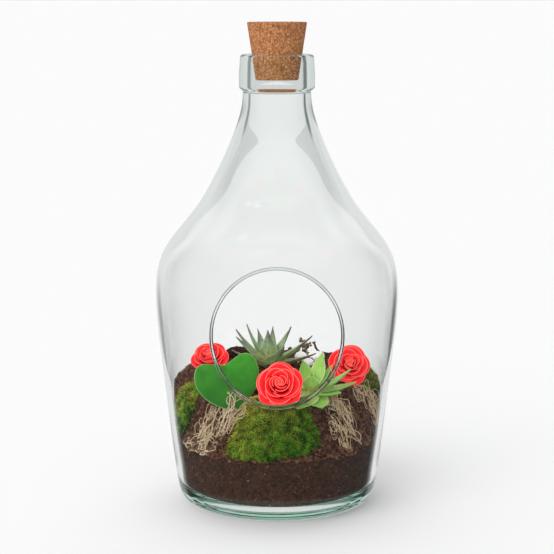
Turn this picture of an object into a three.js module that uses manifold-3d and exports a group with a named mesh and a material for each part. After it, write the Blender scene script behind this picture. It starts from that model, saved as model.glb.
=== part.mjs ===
// Bottle terrarium: a clear glass demijohn with a tapered cork and a round access hole cut in
// its front wall. Inside stand a bank of potting soil, three moss cushions, a spiky grey-green
// rosette, a broad-leaved light green rosette, one heart-shaped leaf, three foam roses on wire,
// two tangles of dried curly roots, three white pebbles, a piece of bark and two dry twigs.
// Millimetres, +Z up. The bottle's axis is Z, its foot stands on z = 0 and the hole faces -Y.
import * as THREE from "three";
import { mergeVertices } from "three/addons/utils/BufferGeometryUtils.js";
import { ConvexGeometry } from "three/addons/geometries/ConvexGeometry.js";
import Module from "manifold-3d";

const wasm = await Module();
wasm.setup();

// ---------------------------------------------------------------- driving dimensions
const GAP = 0.3; // air left between two pieces that touch
const SEGMENTS = 36; // round the bottle
const BOTTLE_HEIGHT = 360;
const FOOT = { radius: 69.5, heel: 10 }; // flat bearing face and the rounded heel round it
const FLOOR = { thickness: 8, radius: 60, heel: 14 }; // inside bottom of the bottle
const LIP = { bottom: 333, radius: 30, topRadius: 29.3, round: 2.6, edge: 1.2 };
const MOUTH = { radius: 20, round: 1.8, depth: 5 };
const HOLE = {
  height: 149.3, // of its centre
  halfWidth: 49.4,
  halfHeight: 52.6,
  segments: 40,
  reach: 120, // the cut runs this far forwards from the axis
};
const CORK = { bottomRadius: 17, topRadius: 23.7, length: 45, chamfer: 0.9, segments: 28 };
const SOIL = {
  low: 50, // surface height along the front wall
  rise: 42, // climb of the bank
  backRise: 11, // slower climb to the back wall
  bankFront: -80, // where the climb starts on the centre line
  bankDepth: 44, // and how deep it is, front to back
  backFront: -20, // the same for the slower climb
  backDepth: 90,
  wallShift: 50, // how much further back the bank starts at the side walls
  halfWidth: 83, // from the axis to those walls
  wallGap: 0.5,
  coarse: 0.9, // heights of its gentle waves
  fine: 0.6,
};

// Outer wall from the heel to under the lip, and inner wall from the floor to the mouth,
// as [radius, height].
const OUTER_WALL = [
  [79.5, 10], [82.7, 31], [87.2, 68], [91.6, 106], [95.5, 139], [97.4, 166], [96.4, 185],
  [91.2, 203], [80.2, 219.5], [64.5, 239], [49.7, 264], [37.9, 289], [31.2, 307], [27.9, 320],
  [26.9, 331],
];
const INNER_WALL = [
  [74, 22], [76.8, 43], [81.8, 68], [87.1, 106], [91.4, 139], [93.6, 166], [92.7, 184],
  [87.3, 202], [75.8, 218], [59, 238.5], [43.6, 263], [30.8, 288], [24.2, 304], [21.6, 318],
  [21.2, 330],
];

// ---------------------------------------------------------------- solids and meshes
const WELD = 1e-3; // corners closer than this are one corner

// A closed mesh from points and triangles as a solid that faces outwards.
function solidFrom(points, faces) {
  const make = (list) =>
    new wasm.Manifold(
      new wasm.Mesh({
        numProp: 3,
        vertProperties: new Float32Array(points.flatMap((p) => [p.x, p.y, p.z])),
        triVerts: new Uint32Array(list.flat()),
      }),
    );
  const made = make(faces);
  return made.volume() < 0 ? make(faces.map(([a, b, c]) => [a, c, b])) : made;
}

// A closed three.js geometry as a solid.
function solidOf(geometry) {
  const bare = geometry.clone();
  bare.deleteAttribute("normal");
  bare.deleteAttribute("uv");
  const merged = mergeVertices(bare, WELD);
  const position = merged.getAttribute("position");
  const points = [];
  for (let i = 0; i < position.count; i += 1) {
    points.push(new THREE.Vector3().fromBufferAttribute(position, i));
  }
  const faces = [];
  for (let i = 0; i < merged.index.count; i += 3) {
    faces.push([0, 1, 2].map((k) => merged.index.getX(i + k)));
  }
  return solidFrom(points, faces);
}

function geometryOf(solid) {
  const mesh = solid.getMesh();
  const positions = new Float32Array(mesh.numVert * 3);
  for (let i = 0; i < mesh.numVert; i += 1) {
    positions.set(mesh.vertProperties.subarray(i * mesh.numProp, i * mesh.numProp + 3), i * 3);
  }
  const geometry = new THREE.BufferGeometry();
  geometry.setAttribute("position", new THREE.BufferAttribute(positions, 3));
  geometry.setIndex(new THREE.BufferAttribute(mesh.triVerts, 1));
  return geometry;
}

// Rings of equal length joined into one closed skin; a ring of one point is a pole.
function ringSolid(rings) {
  const points = rings.flat();
  const faces = [];
  let start = 0;
  for (let r = 0; r + 1 < rings.length; r += 1) {
    const [a, b] = [rings[r].length, rings[r + 1].length];
    const n = Math.max(a, b);
    const lower = (i) => start + (a === 1 ? 0 : i % n);
    const upper = (i) => start + a + (b === 1 ? 0 : i % n);
    for (let i = 0; i < n; i += 1) {
      if (a > 1) faces.push([lower(i), lower(i + 1), upper(i)]);
      if (b > 1) faces.push([lower(i + 1), upper(i + 1), upper(i)]);
    }
    start += a;
  }
  return solidFrom(points, faces);
}

// A thin shell between two grids of points, front and back, stitched round its border.
function sheetSolid(front, back) {
  const [rows, columns] = [front.length, front[0].length];
  const points = [...front.flat(), ...back.flat()];
  const at = (side, r, c) => side * rows * columns + r * columns + c;
  const faces = [];
  const quad = (a, b, c, d) => faces.push([a, b, c], [a, c, d]);
  for (let r = 0; r + 1 < rows; r += 1) {
    for (let c = 0; c + 1 < columns; c += 1) {
      quad(at(0, r, c), at(0, r, c + 1), at(0, r + 1, c + 1), at(0, r + 1, c));
      quad(at(1, r, c), at(1, r + 1, c), at(1, r + 1, c + 1), at(1, r, c + 1));
    }
    quad(at(0, r, 0), at(0, r + 1, 0), at(1, r + 1, 0), at(1, r, 0));
    const c = columns - 1;
    quad(at(0, r, c), at(1, r, c), at(1, r + 1, c), at(0, r + 1, c));
  }
  for (let c = 0; c + 1 < columns; c += 1) {
    const r = rows - 1;
    quad(at(0, 0, c), at(1, 0, c), at(1, 0, c + 1), at(0, 0, c + 1));
    quad(at(0, r, c), at(0, r, c + 1), at(1, r, c + 1), at(1, r, c));
  }
  return solidFrom(points, faces);
}

const union = (solids) => wasm.Manifold.union(solids);

// The largest of a solid's separate bodies; scraps left by a cut are dropped.
function largest(solid) {
  return solid.decompose().sort((a, b) => b.volume() - a.volume())[0];
}

// Cuts neighbours away from a solid, each moved by GAP to every side so that air is left between.
const SIDES = [[1, 0, 0], [-1, 0, 0], [0, 1, 0], [0, -1, 0], [0, 0, 1], [0, 0, -1]];
function clearOf(solid, neighbours) {
  const moved = neighbours.flatMap((piece) =>
    SIDES.map((side) => piece.translate(side.map((x) => x * GAP))),
  );
  return largest(moved.reduce((rest, cutter) => rest.subtract(cutter), solid));
}

// ---------------------------------------------------------------- small maths
const radians = THREE.MathUtils.degToRad;
const mix = THREE.MathUtils.lerp;
const clamp = THREE.MathUtils.clamp;
const ease = (t) => THREE.MathUtils.smoothstep(t, 0, 1);

// Repeatable random numbers from 0 to 1.
function randomFrom(seed) {
  let state = seed;
  return () => {
    state = (state * 1664525 + 1013904223) % 4294967296;
    return state / 4294967296;
  };
}

function direction(azimuth, rise) {
  const [a, e] = [radians(azimuth), radians(rise)];
  return new THREE.Vector3(Math.cos(a) * Math.cos(e), Math.sin(a) * Math.cos(e), Math.sin(e));
}

// A straight round peg from one point to another.
function peg(from, to, radius, sides = 8) {
  const along = new THREE.Vector3().subVectors(to, from);
  const geometry = new THREE.CylinderGeometry(radius, radius, along.length(), sides);
  geometry.translate(0, along.length() / 2, 0);
  const turn = new THREE.Quaternion().setFromUnitVectors(
    new THREE.Vector3(0, 1, 0),
    along.clone().normalize(),
  );
  geometry.applyQuaternion(turn);
  geometry.translate(from.x, from.y, from.z);
  return solidOf(geometry);
}

// A tube of few sides along a smooth curve through the given points.
function tube(points, radius, sides, steps) {
  const section = new THREE.Shape(
    Array.from({ length: sides }, (_, i) => {
      const a = (i / sides) * Math.PI * 2;
      return new THREE.Vector2(radius * Math.cos(a), radius * Math.sin(a));
    }),
  );
  return solidOf(
    new THREE.ExtrudeGeometry(section, {
      steps,
      bevelEnabled: false,
      extrudePath: new THREE.CatmullRomCurve3(points),
    }),
  );
}

const knot = (centre, radius) =>
  solidOf(new THREE.IcosahedronGeometry(radius, 0).translate(centre.x, centre.y, centre.z));

// ---------------------------------------------------------------- bottle and cork
const arc = (cx, cy, radius, from, to, steps) =>
  Array.from({ length: steps + 1 }, (_, i) => {
    const a = radians(mix(from, to, i / steps));
    return new THREE.Vector2(cx + radius * Math.cos(a), cy + radius * Math.sin(a));
  });

const smooth = (points, steps) =>
  new THREE.SplineCurve(points.map(([r, z]) => new THREE.Vector2(r, z))).getPoints(steps);

const outerWall = smooth(OUTER_WALL, 15);
const innerWall = [
  new THREE.Vector2(0, FLOOR.thickness),
  ...arc(FLOOR.radius, FLOOR.thickness + FLOOR.heel, FLOOR.heel, -90, -15, 3),
  ...smooth(INNER_WALL, 12),
];

// Inner radius of the bottle at a height.
function boreRadius(z) {
  for (let i = 1; i < innerWall.length; i += 1) {
    const [a, b] = [innerWall[i - 1], innerWall[i]];
    if (z <= b.y && b.y > a.y) return mix(a.x, b.x, clamp((z - a.y) / (b.y - a.y), 0, 1));
  }
  return innerWall.at(-1).x;
}

function lathe(profile, segments = SEGMENTS) {
  const geometry = new THREE.LatheGeometry(profile, segments);
  geometry.rotateX(Math.PI / 2);
  return solidOf(geometry);
}

function makeBottle() {
  const [lipRound, mouthRound] = [LIP.round, MOUTH.round];
  const lipCorner = arc(LIP.topRadius - lipRound, BOTTLE_HEIGHT - lipRound, lipRound, 0, 90, 2);
  const mouthEdge = arc(MOUTH.radius + mouthRound, BOTTLE_HEIGHT - mouthRound, mouthRound, 90, 180, 2);
  const profile = [
    new THREE.Vector2(0, 0),
    ...arc(FOOT.radius, FOOT.heel, FOOT.heel, -90, -18, 3),
    ...outerWall,
    new THREE.Vector2(LIP.radius - LIP.edge, LIP.bottom),
    new THREE.Vector2(LIP.radius, LIP.bottom + LIP.edge),
    ...lipCorner,
    ...mouthEdge,
    new THREE.Vector2(INNER_WALL.at(-1)[0], BOTTLE_HEIGHT - MOUTH.round - MOUTH.depth),
    ...innerWall.toReversed(),
  ];
  const rim = new THREE.Shape().absellipse(
    0, 0, HOLE.halfWidth, HOLE.halfHeight, 0, Math.PI * 2, false, 0,
  );
  const cutter = new THREE.ExtrudeGeometry(rim, {
    depth: HOLE.reach,
    bevelEnabled: false,
    curveSegments: HOLE.segments,
  });
  cutter.rotateX(Math.PI / 2);
  cutter.translate(0, 0, HOLE.height);
  return lathe(profile).subtract(solidOf(cutter));
}

// A tapered plug, wedged where its radius meets the bottle's mouth.
function makeCork() {
  const taper = (CORK.topRadius - CORK.bottomRadius) / CORK.length;
  const seat = BOTTLE_HEIGHT - MOUTH.round;
  const bottom = seat - (MOUTH.radius - GAP - CORK.bottomRadius) / taper;
  const top = bottom + CORK.length;
  return lathe(
    [
      [0, bottom],
      [CORK.bottomRadius - CORK.chamfer, bottom],
      [CORK.bottomRadius, bottom + CORK.chamfer],
      [CORK.topRadius, top - CORK.chamfer],
      [CORK.topRadius - CORK.chamfer, top],
      [0, top],
    ].map(([r, z]) => new THREE.Vector2(r, z)),
    CORK.segments,
  );
}

// ---------------------------------------------------------------- soil
// Height of the bank: low along the front glass, steep, then a plateau that climbs to the back.
function soilHeight(x, y) {
  const start = SOIL.bankFront + SOIL.wallShift * (x / SOIL.halfWidth) ** 2;
  return (
    SOIL.low +
    SOIL.rise * ease((y - start) / SOIL.bankDepth) +
    SOIL.backRise * ease((y - SOIL.backFront) / SOIL.backDepth) +
    SOIL.coarse * Math.sin(x * 0.31 + 1.3) * Math.cos(y * 0.27) +
    SOIL.fine * Math.sin(x * 0.13 - y * 0.47)
  );
}

// Where the soil meets the glass at an angle round the bottle.
function wallContact(angle) {
  let z = 80;
  for (let i = 0; i < 12; i += 1) {
    const r = boreRadius(z) - SOIL.wallGap;
    z = soilHeight(r * Math.cos(angle), r * Math.sin(angle));
  }
  return z;
}

function makeSoil() {
  const floor = FLOOR.thickness + SOIL.wallGap;
  const angles = Array.from({ length: SEGMENTS }, (_, i) => (i / SEGMENTS) * Math.PI * 2);
  const wallRows = 5;
  const topRows = 8;
  const floorEdge = FLOOR.radius - 3;
  const rings = [[new THREE.Vector3(0, 0, floor)]];
  for (let k = 0; k <= wallRows; k += 1) {
    rings.push(
      angles.map((a) => {
        const z = mix(floor, wallContact(a), (k / wallRows) ** 1.4);
        const r = k === 0 ? floorEdge : boreRadius(z) - SOIL.wallGap;
        return new THREE.Vector3(r * Math.cos(a), r * Math.sin(a), z);
      }),
    );
  }
  for (let k = 1; k < topRows; k += 1) {
    rings.push(
      angles.map((a) => {
        const r = (boreRadius(wallContact(a)) - SOIL.wallGap) * (1 - k / topRows);
        const [x, y] = [r * Math.cos(a), r * Math.sin(a)];
        return new THREE.Vector3(x, y, soilHeight(x, y));
      }),
    );
  }
  rings.push([new THREE.Vector3(0, 0, soilHeight(0, 0))]);
  return ringSolid(rings);
}

// ---------------------------------------------------------------- cushions on the soil
// Widens an oval towards its bounding rectangle.
const squarish = (cosine) => Math.sign(cosine) * Math.abs(cosine) ** 0.75;

// A cushion over an oval footprint: its top follows the soil, domed, with tufts raised in relief.
const SUNK = 3; // how far a cushion's underside lies below the soil's surface
function cushion({ x, y, halfLength, halfWidth, turn, height, tuft, seed, rows = 4, sectors = 16 }) {
  const random = randomFrom(seed);
  const place = (rho, angle) => {
    const wave = 1 + 0.08 * Math.sin(angle * 3 + seed) + 0.05 * Math.sin(angle * 5 - seed);
    const u = halfLength * rho * wave * squarish(Math.cos(angle));
    const v = halfWidth * rho * wave * squarish(Math.sin(angle));
    const [c, s] = [Math.cos(radians(turn)), Math.sin(radians(turn))];
    return [x + u * c - v * s, y + u * s + v * c];
  };
  const ring = (rho, heightAt) =>
    Array.from({ length: sectors }, (_, i) => {
      const [px, py] = place(rho, (i / sectors) * Math.PI * 2);
      return new THREE.Vector3(px, py, heightAt(px, py, i));
    });
  const rings = [[new THREE.Vector3(x, y, soilHeight(x, y) - SUNK - 1)]];
  rings.push(ring(0.98, (px, py) => soilHeight(px, py) - SUNK));
  for (let k = rows; k > 0; k -= 1) {
    const rho = k / rows;
    const dome = height * Math.sqrt(1 - (0.96 * rho) ** 2);
    const tuftAt = (i) => ((i + k) % 2 ? tuft : 0) * (0.6 + 0.8 * random());
    rings.push(ring(rho, (px, py, i) => soilHeight(px, py) + dome + tuftAt(i)));
  }
  rings.push([new THREE.Vector3(x, y, soilHeight(x, y) + height)]);
  return ringSolid(rings);
}

const MOSS = {
  front: {
    x: -3,
    y: -61,
    halfLength: 38,
    halfWidth: 16,
    turn: 2,
    height: 8,
    tuft: 2.2,
    seed: 3,
    rows: 5,
    sectors: 26,
  },
  left: { x: -69, y: -21, halfLength: 19, halfWidth: 12, turn: 114, height: 5.5, tuft: 1.5, seed: 7 },
  right: { x: 68, y: 10, halfLength: 27, halfWidth: 13, turn: 108, height: 5.5, tuft: 1.5, seed: 11 },
};

// ---------------------------------------------------------------- leaves
// A fleshy blade along a bowed midrib. Its section is a crescent: hollow above, keeled below.
function fleshyLeaf({ centre, start, azimuth, rise, length, width, thickness, bow, hollow, outline }) {
  const along = direction(azimuth, rise);
  const side = direction(azimuth + 90, 0);
  const up = new THREE.Vector3().crossVectors(along, side);
  const stations = [0.06, 0.3, 0.55, 0.8];
  const section = [[-1, 0.35], [0, -0.75], [1, 0.35], [0.4, 0.3 - hollow], [-0.4, 0.3 - hollow]];
  const midrib = (t) =>
    centre
      .clone()
      .addScaledVector(along, mix(start, length, t))
      .addScaledVector(up, bow * length * (t * t - 0.55 * t));
  const rings = [[midrib(0)]];
  stations.forEach((t) => {
    const half = (width / 2) * outline(t);
    const thick = thickness * (0.55 + 0.45 * outline(t)) * (1 - 0.6 * t * t);
    rings.push(
      section.map(([a, b]) => midrib(t).addScaledVector(side, a * half).addScaledVector(up, b * thick)),
    );
  });
  rings.push([midrib(1)]);
  return ringSolid(rings);
}

// Leaves round a flattened heart, on a short neck that stands in the soil.
const HEART_FLATNESS = 0.6;
function rosette({ centre, heartRadius, neckRadius, neckDepth, leaves, ...shape }) {
  const blades = leaves.map(([azimuth, rise, length, width = shape.width]) =>
    fleshyLeaf({ ...shape, centre, start: neckRadius, azimuth, rise, length, width }),
  );
  const heart = new THREE.IcosahedronGeometry(heartRadius, 1);
  heart.scale(1, 1, HEART_FLATNESS);
  heart.translate(centre.x, centre.y, centre.z);
  const foot = centre.clone().setZ(soilHeight(centre.x, centre.y) - neckDepth);
  return union([...blades, solidOf(heart), peg(foot, centre, neckRadius)]);
}

const SPIKY = {
  centre: new THREE.Vector3(-7, 34, 104),
  heartRadius: 6.2,
  neckRadius: 4,
  neckDepth: 9,
  width: 11,
  thickness: 2.6,
  bow: 0.16,
  hollow: 0.3,
  outline: (t) => (0.8 + 1.1 * t * (0.45 - t)) * (1 - t) ** 0.55 * 1.15,
  // [azimuth, rise, length, width]
  leaves: [
    [205, 45, 47], [182, 61, 43], [268, 75, 37, 12], [70, 66, 36, 8], [22, 58, 38, 8],
    [354, 37, 41], [342, 20, 43, 11], [302, 46, 33, 12], [228, 20, 28, 10], [278, 14, 24, 10],
    [112, 40, 40], [150, 28, 40], [58, 32, 39], [188, 18, 34], [90, 14, 36],
  ],
};

const BROAD = {
  centre: new THREE.Vector3(27, -35, 97),
  heartRadius: 6.2,
  neckRadius: 3.6,
  neckDepth: 9,
  width: 12,
  thickness: 2.6,
  bow: 0.2,
  hollow: 0.38,
  outline: (t) => (0.62 + 1.5 * t * (1.05 - t)) * (1 - t ** 3.2) ** 0.8,
  leaves: [
    [23, 61, 34, 13], [121, 58, 28, 12], [262, 48, 21, 13], [350, 17, 33, 12], [18, -5, 33, 10],
    [222, -4, 29, 10], [252, -12, 26, 10], [318, -4, 25, 12], [286, -8, 25, 10], [155, 18, 25, 12],
    [90, 22, 26, 12], [188, 8, 24, 10],
  ],
};

// One thick heart-shaped leaf: lobes up, its point on the soil and a stalk in it, leaning back.
const HEART = {
  tip: new THREE.Vector3(-32.5, -43, soilHeight(-32.5, -43) + 3.6),
  width: 52,
  height: 44,
  thickness: 3.2,
  lean: 72, // from lying flat
  roll: 15, // in its own plane
  stalk: { radius: 1.6, depth: 9 },
};

function makeHeartLeaf() {
  const sectors = 28;
  const half = HEART.width / 2;
  // The edge as a heart curve of cosines, from the notch round to the point.
  const cosines = (a) =>
    0.5 * Math.cos(a) - 0.126 * Math.cos(2 * a) - 0.056 * Math.cos(3 * a) - 0.022 * Math.cos(4 * a);
  const edge = (a) => [
    half * Math.sign(Math.sin(a)) * Math.abs(Math.sin(a)) ** 1.35,
    HEART.height * (cosines(a) + 0.593),
  ];
  const middle = [0, HEART.height * 0.52];
  const frame = new THREE.Matrix4()
    .makeRotationX(radians(HEART.lean))
    .multiply(new THREE.Matrix4().makeRotationZ(radians(HEART.roll)));
  const place = (x, y, z) => new THREE.Vector3(x, y, z).applyMatrix4(frame).add(HEART.tip);
  const cup = (x, y) => 0.0035 * (x * x + (y - middle[1]) ** 2);
  const ring = (share, side) =>
    Array.from({ length: sectors }, (_, i) => {
      const [ex, ey] = edge((i / sectors) * Math.PI * 2);
      const [x, y] = [mix(middle[0], ex, share), mix(middle[1], ey, share)];
      const halfThickness = (HEART.thickness / 2) * Math.sqrt(1 - share ** 3 * 0.92);
      return place(x, y, cup(x, y) + side * halfThickness);
    });
  const blade = ringSolid([
    [place(...middle, -HEART.thickness / 2)],
    ring(0.88, -1),
    ring(1, 0),
    ring(0.88, 1),
    [place(...middle, HEART.thickness / 2)],
  ]);
  const top = place(0, 6, cup(0, 6));
  const foot = HEART.tip.clone().setZ(soilHeight(HEART.tip.x, HEART.tip.y) - HEART.stalk.depth);
  const below = foot.clone().lerp(top, -0.03);
  return {
    leaf: union([blade, peg(foot, top, HEART.stalk.radius)]),
    hole: peg(below, top, HEART.stalk.radius + GAP),
  };
}

// ---------------------------------------------------------------- roses
// One petal in a bloom's own frame (axis +Z, unit radius): a cupped sheet that stands on the
// bloom's core at "root" and opens to "edge", both [radius, height].
function petal({ turn, span, root, edge, belly }) {
  const [across, up, skin, spiral] = [4, 2, 0.034, 0.05];
  const point = (a, v, offset) => {
    const w = v * (1 - 0.24 * Math.abs(a) ** 2.4);
    const angle = turn + ((a * span) / 2) * (0.7 + 0.3 * Math.min(w * 2, 1));
    const r = mix(root[0], edge[0], w) + belly * Math.sin(w * Math.PI) + spiral * a + offset;
    return new THREE.Vector3(r * Math.cos(angle), r * Math.sin(angle), mix(root[1], edge[1], w));
  };
  const grid = (offset) =>
    Array.from({ length: up + 1 }, (_, j) =>
      Array.from({ length: across + 1 }, (_, i) => point((2 * i) / across - 1, j / up, offset)),
    );
  return sheetSolid(grid(skin), grid(-skin));
}

const PETAL_LAYERS = [
  { count: 3, span: 2.2, root: [0.2, 0.42], edge: [0.31, 0.98], belly: 0.05 },
  { count: 4, span: 1.85, root: [0.36, 0.3], edge: [0.58, 0.84], belly: 0.07 },
  { count: 5, span: 1.5, root: [0.5, 0.16], edge: [0.95, 0.58], belly: 0.08 },
];
// The core that the petals stand on: a cup below, a cone and the closed bud above.
const BLOOM_CORE = [
  [0, -0.12], [0.24, -0.06], [0.46, 0.06], [0.6, 0.22], [0.42, 0.4], [0.25, 0.52], [0.13, 0.7],
  [0.15, 0.92], [0, 1],
];
const LAYER_TURN = 0.9; // each layer of petals is turned this much from the last

function bloomSolid() {
  const petals = PETAL_LAYERS.flatMap((layer, k) =>
    Array.from({ length: layer.count }, (_, i) =>
      petal({ ...layer, turn: (i / layer.count) * Math.PI * 2 + k * LAYER_TURN }),
    ),
  );
  const core = BLOOM_CORE.map(([r, z]) => new THREE.Vector2(r, z));
  return union([...petals, lathe(core, 6)]);
}

// A bloom's radius, the centre of its petals, the way it faces and where its wire enters the soil.
const ROSES = {
  front: {
    radius: 18.2,
    centre: [1.5, -60, 105],
    facing: [0.16, -0.66, 0.73],
    spin: 0.3,
    foot: [3, -44],
  },
  right: {
    radius: 16.4,
    centre: [58.5, 2, 109],
    facing: [0.04, -0.74, 0.67],
    spin: 1.5,
    foot: [56, 16],
  },
  left: {
    radius: 15.4,
    centre: [-55, 26, 112.5],
    facing: [0.25, 0.22, 0.94],
    spin: 2.2,
    foot: [-57, 21],
  },
};
const BLOOM_MIDDLE = 0.42; // of the radius, from the petals' foot to the bloom's centre
const WIRE = { radius: 0.9, depth: 12, intoBloom: 4, straight: 5 };

function makeRose({ radius, centre, facing, spin, foot }) {
  const axis = new THREE.Vector3(...facing).normalize();
  const upright = new THREE.Vector3(0, 0, 1);
  const frame = new THREE.Matrix4()
    .makeRotationFromQuaternion(new THREE.Quaternion().setFromUnitVectors(upright, axis))
    .multiply(new THREE.Matrix4().makeRotationZ(spin))
    .multiply(new THREE.Matrix4().makeScale(radius, radius, radius));
  const base = new THREE.Vector3(...centre).addScaledVector(axis, -BLOOM_MIDDLE * radius);
  const bloom = bloomSolid().transform(frame.elements).translate([base.x, base.y, base.z]);
  const underside = 0.1 * radius;
  const neck = base.clone().addScaledVector(axis, WIRE.intoBloom - underside);
  const bend = base.clone().addScaledVector(axis, -WIRE.straight - underside);
  const ground = new THREE.Vector3(foot[0], foot[1], soilHeight(...foot) - WIRE.depth);
  const wire = (wireRadius) => tube([ground, bend, neck], wireRadius, 6, 5);
  const hole = wire(WIRE.radius + GAP);
  return { bloom: bloom.subtract(hole), wire: wire(WIRE.radius), hole };
}

// ---------------------------------------------------------------- dried roots
// Height of the soil with the moss on it.
function coverHeight(x, y) {
  const rises = Object.values(MOSS).map((moss) => {
    const [c, s] = [Math.cos(radians(moss.turn)), Math.sin(radians(moss.turn))];
    const [dx, dy] = [x - moss.x, y - moss.y];
    const [u, v] = [(dx * c + dy * s) / moss.halfLength, (dy * c - dx * s) / moss.halfWidth];
    return (moss.height + moss.tuft) * Math.sqrt(clamp(1.1 - u * u - v * v, 0, 1));
  });
  return soilHeight(x, y) + Math.max(...rises);
}

// Each tangle lies over two round piles, [x, y, half width, half depth], on a thin mat.
const TANGLES = {
  left: {
    seed: 21,
    piles: [[-59, -47, 15, 13], [-38, -48, 13, 8]],
    mat: { x: -49, y: -46, halfLength: 17, halfWidth: 3.5, turn: 0 },
  },
  right: {
    seed: 34,
    piles: [[67, -22, 12, 13], [47, -40, 14, 11]],
    mat: { x: 58, y: -31, halfLength: 17, halfWidth: 3.5, turn: 222 },
  },
};
const STRAND = { count: 9, radius: 0.6, sides: 3, steps: 8, stride: 4, lift: 6 };

// Curly strands that leave a thin mat and wander over the piles, then come back to the ground.
function makeTangle({ seed, piles, mat }) {
  const random = randomFrom(seed);
  const bed = cushion({ ...mat, height: 2.6, tuft: 0.6, seed, rows: 2, sectors: 10 });
  const strands = Array.from({ length: STRAND.count }, (_, n) => {
    const [cx, cy, a, b] = piles[n % 2];
    const along = mat.halfLength * 0.85 * random() * (n % 2 ? 1 : -1);
    let x = mat.x + along * Math.cos(radians(mat.turn));
    let y = mat.y + along * Math.sin(radians(mat.turn));
    let heading = random() * Math.PI * 2;
    let turn = random() - 0.5;
    const points = [];
    for (let i = 0; i <= STRAND.steps; i += 1) {
      const arch = Math.sin((i / STRAND.steps) * Math.PI) ** 0.7;
      const above = 1 + STRAND.lift * arch * (0.4 + 0.6 * random());
      points.push(new THREE.Vector3(x, y, coverHeight(x, y) + above));
      turn = clamp(turn + random() - 0.5, -0.9, 0.9);
      heading += turn;
      const outside = Math.hypot((x - cx) / a, (y - cy) / b) > 1;
      if (outside) heading += 0.7 * Math.sin(Math.atan2(cy - y, cx - x) - heading);
      x += STRAND.stride * Math.cos(heading);
      y += STRAND.stride * Math.sin(heading);
    }
    return tube(points, STRAND.radius, STRAND.sides, STRAND.steps);
  });
  return union([bed, ...strands]);
}

// ---------------------------------------------------------------- pebbles, bark and twigs
// A faceted stone: the hull of a few points strewn over an oval ball.
const STONE_POINTS = 18;
function stone({ x, y, size, seed, lift = 0.42 }) {
  const random = randomFrom(seed);
  const z = soilHeight(x, y) + size[2] * lift;
  const points = Array.from({ length: STONE_POINTS }, (_, i) => {
    const polar = Math.acos(1 - (2 * (i + 0.5)) / STONE_POINTS);
    const angle = i * 2.4 + random();
    return new THREE.Vector3(
      x + (size[0] / 2) * Math.sin(polar) * Math.cos(angle),
      y + (size[1] / 2) * Math.sin(polar) * Math.sin(angle),
      z + (size[2] / 2) * Math.cos(polar),
    );
  });
  return solidOf(new ConvexGeometry(points));
}

const PEBBLES = [
  { x: 21, y: 50, size: [9.5, 8, 8.5], seed: 5 },
  { x: 31.5, y: 55, size: [14.5, 10, 9.5], seed: 9 },
  { x: 26, y: 42, size: [9.5, 8, 7], seed: 13 },
];
const BARK = { x: -31, y: 56, size: [27, 13, 13], seed: 2, lift: 0.3 };

// A dry twig standing in the soil: a bent stem with knots, and side shoots that end in buds.
// Points are [x, y, height above the soil].
const TWIGS = {
  flower_stalk: {
    radius: 1.1,
    stem: [[4, 64, -1], [11, 61, 4], [18, 58, 8], [22.5, 57, 13]],
    shoots: [[3, [26.5, 58, 12]], [3, [20.5, 59, 17]], [3, [28, 49, 3]]],
  },
  dark: {
    radius: 1.2,
    stem: [[50, 56, -1], [46, 60, 5], [38, 60, 4], [32.5, 61, 8], [31.5, 60, 13]],
    shoots: [[2, [40, 67, 2]], [1, [53, 63, 3]]],
  },
};

function makeTwig({ stem, radius, shoots }) {
  const rest = ([x, y, above]) => new THREE.Vector3(x, y, soilHeight(x, y) + above);
  const joints = stem.map(rest);
  const spurs = shoots.flatMap(([at, end]) => [
    peg(joints[at], rest(end), radius * 0.6, 4),
    knot(rest(end), radius * 1.3),
  ]);
  return union([tube(joints, radius, 5, 5), knot(joints[1], radius * 1.6), ...spurs]);
}

// ---------------------------------------------------------------- assembly
const finish = {
  glass: { color: 0xe4efec, roughness: 0.04, metalness: 0, transparent: true, opacity: 0.3 },
  cork: { color: 0xb67c4e, roughness: 0.85, metalness: 0 },
  soil: { color: 0x3b2419, roughness: 1, metalness: 0 },
  moss: { color: 0x55701c, roughness: 0.95, metalness: 0 },
  greyLeaf: { color: 0x52715b, roughness: 0.55, metalness: 0 },
  lightLeaf: { color: 0x6fae3d, roughness: 0.45, metalness: 0 },
  heartLeaf: { color: 0x2f8f2a, roughness: 0.5, metalness: 0 },
  rose: { color: 0xf0443c, roughness: 0.7, metalness: 0 },
  wire: { color: 0x3f6b35, roughness: 0.5, metalness: 0.2 },
  driedRoot: { color: 0xc8ad7f, roughness: 0.9, metalness: 0 },
  pebble: { color: 0xf2efed, roughness: 0.5, metalness: 0 },
  bark: { color: 0x4a2f28, roughness: 0.95, metalness: 0 },
  twig: { color: 0x8a7a63, roughness: 0.9, metalness: 0 },
};

const terrarium = new THREE.Group();

function add(name, solid, look) {
  const welded = largest(solidOf(geometryOf(solid)));
  const mesh = new THREE.Mesh(geometryOf(welded), new THREE.MeshStandardMaterial(finish[look]));
  mesh.name = name;
  terrarium.add(mesh);
}

const roses = Object.fromEntries(
  Object.entries(ROSES).map(([name, rose]) => [name, makeRose(rose)]),
);
const spiky = rosette(SPIKY);
const broad = rosette(BROAD);
const heart = makeHeartLeaf();

// Plain round holes in the soil for the necks, the leaf's stalk and the wires.
const NECK_HOLE_TOP = 6; // above the surface, so that the hole is open
const neckHole = ({ centre, neckRadius, neckDepth }) => {
  const surface = soilHeight(centre.x, centre.y);
  return peg(
    centre.clone().setZ(surface - neckDepth - GAP),
    centre.clone().setZ(surface + NECK_HOLE_TOP),
    neckRadius + GAP,
  );
};
const ground = makeSoil();
const wireHoles = Object.values(roses).map((rose) => rose.hole);
const soil = [neckHole(SPIKY), neckHole(BROAD), heart.hole, ...wireHoles].reduce(
  (rest, hole) => rest.subtract(hole),
  ground,
);

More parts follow.
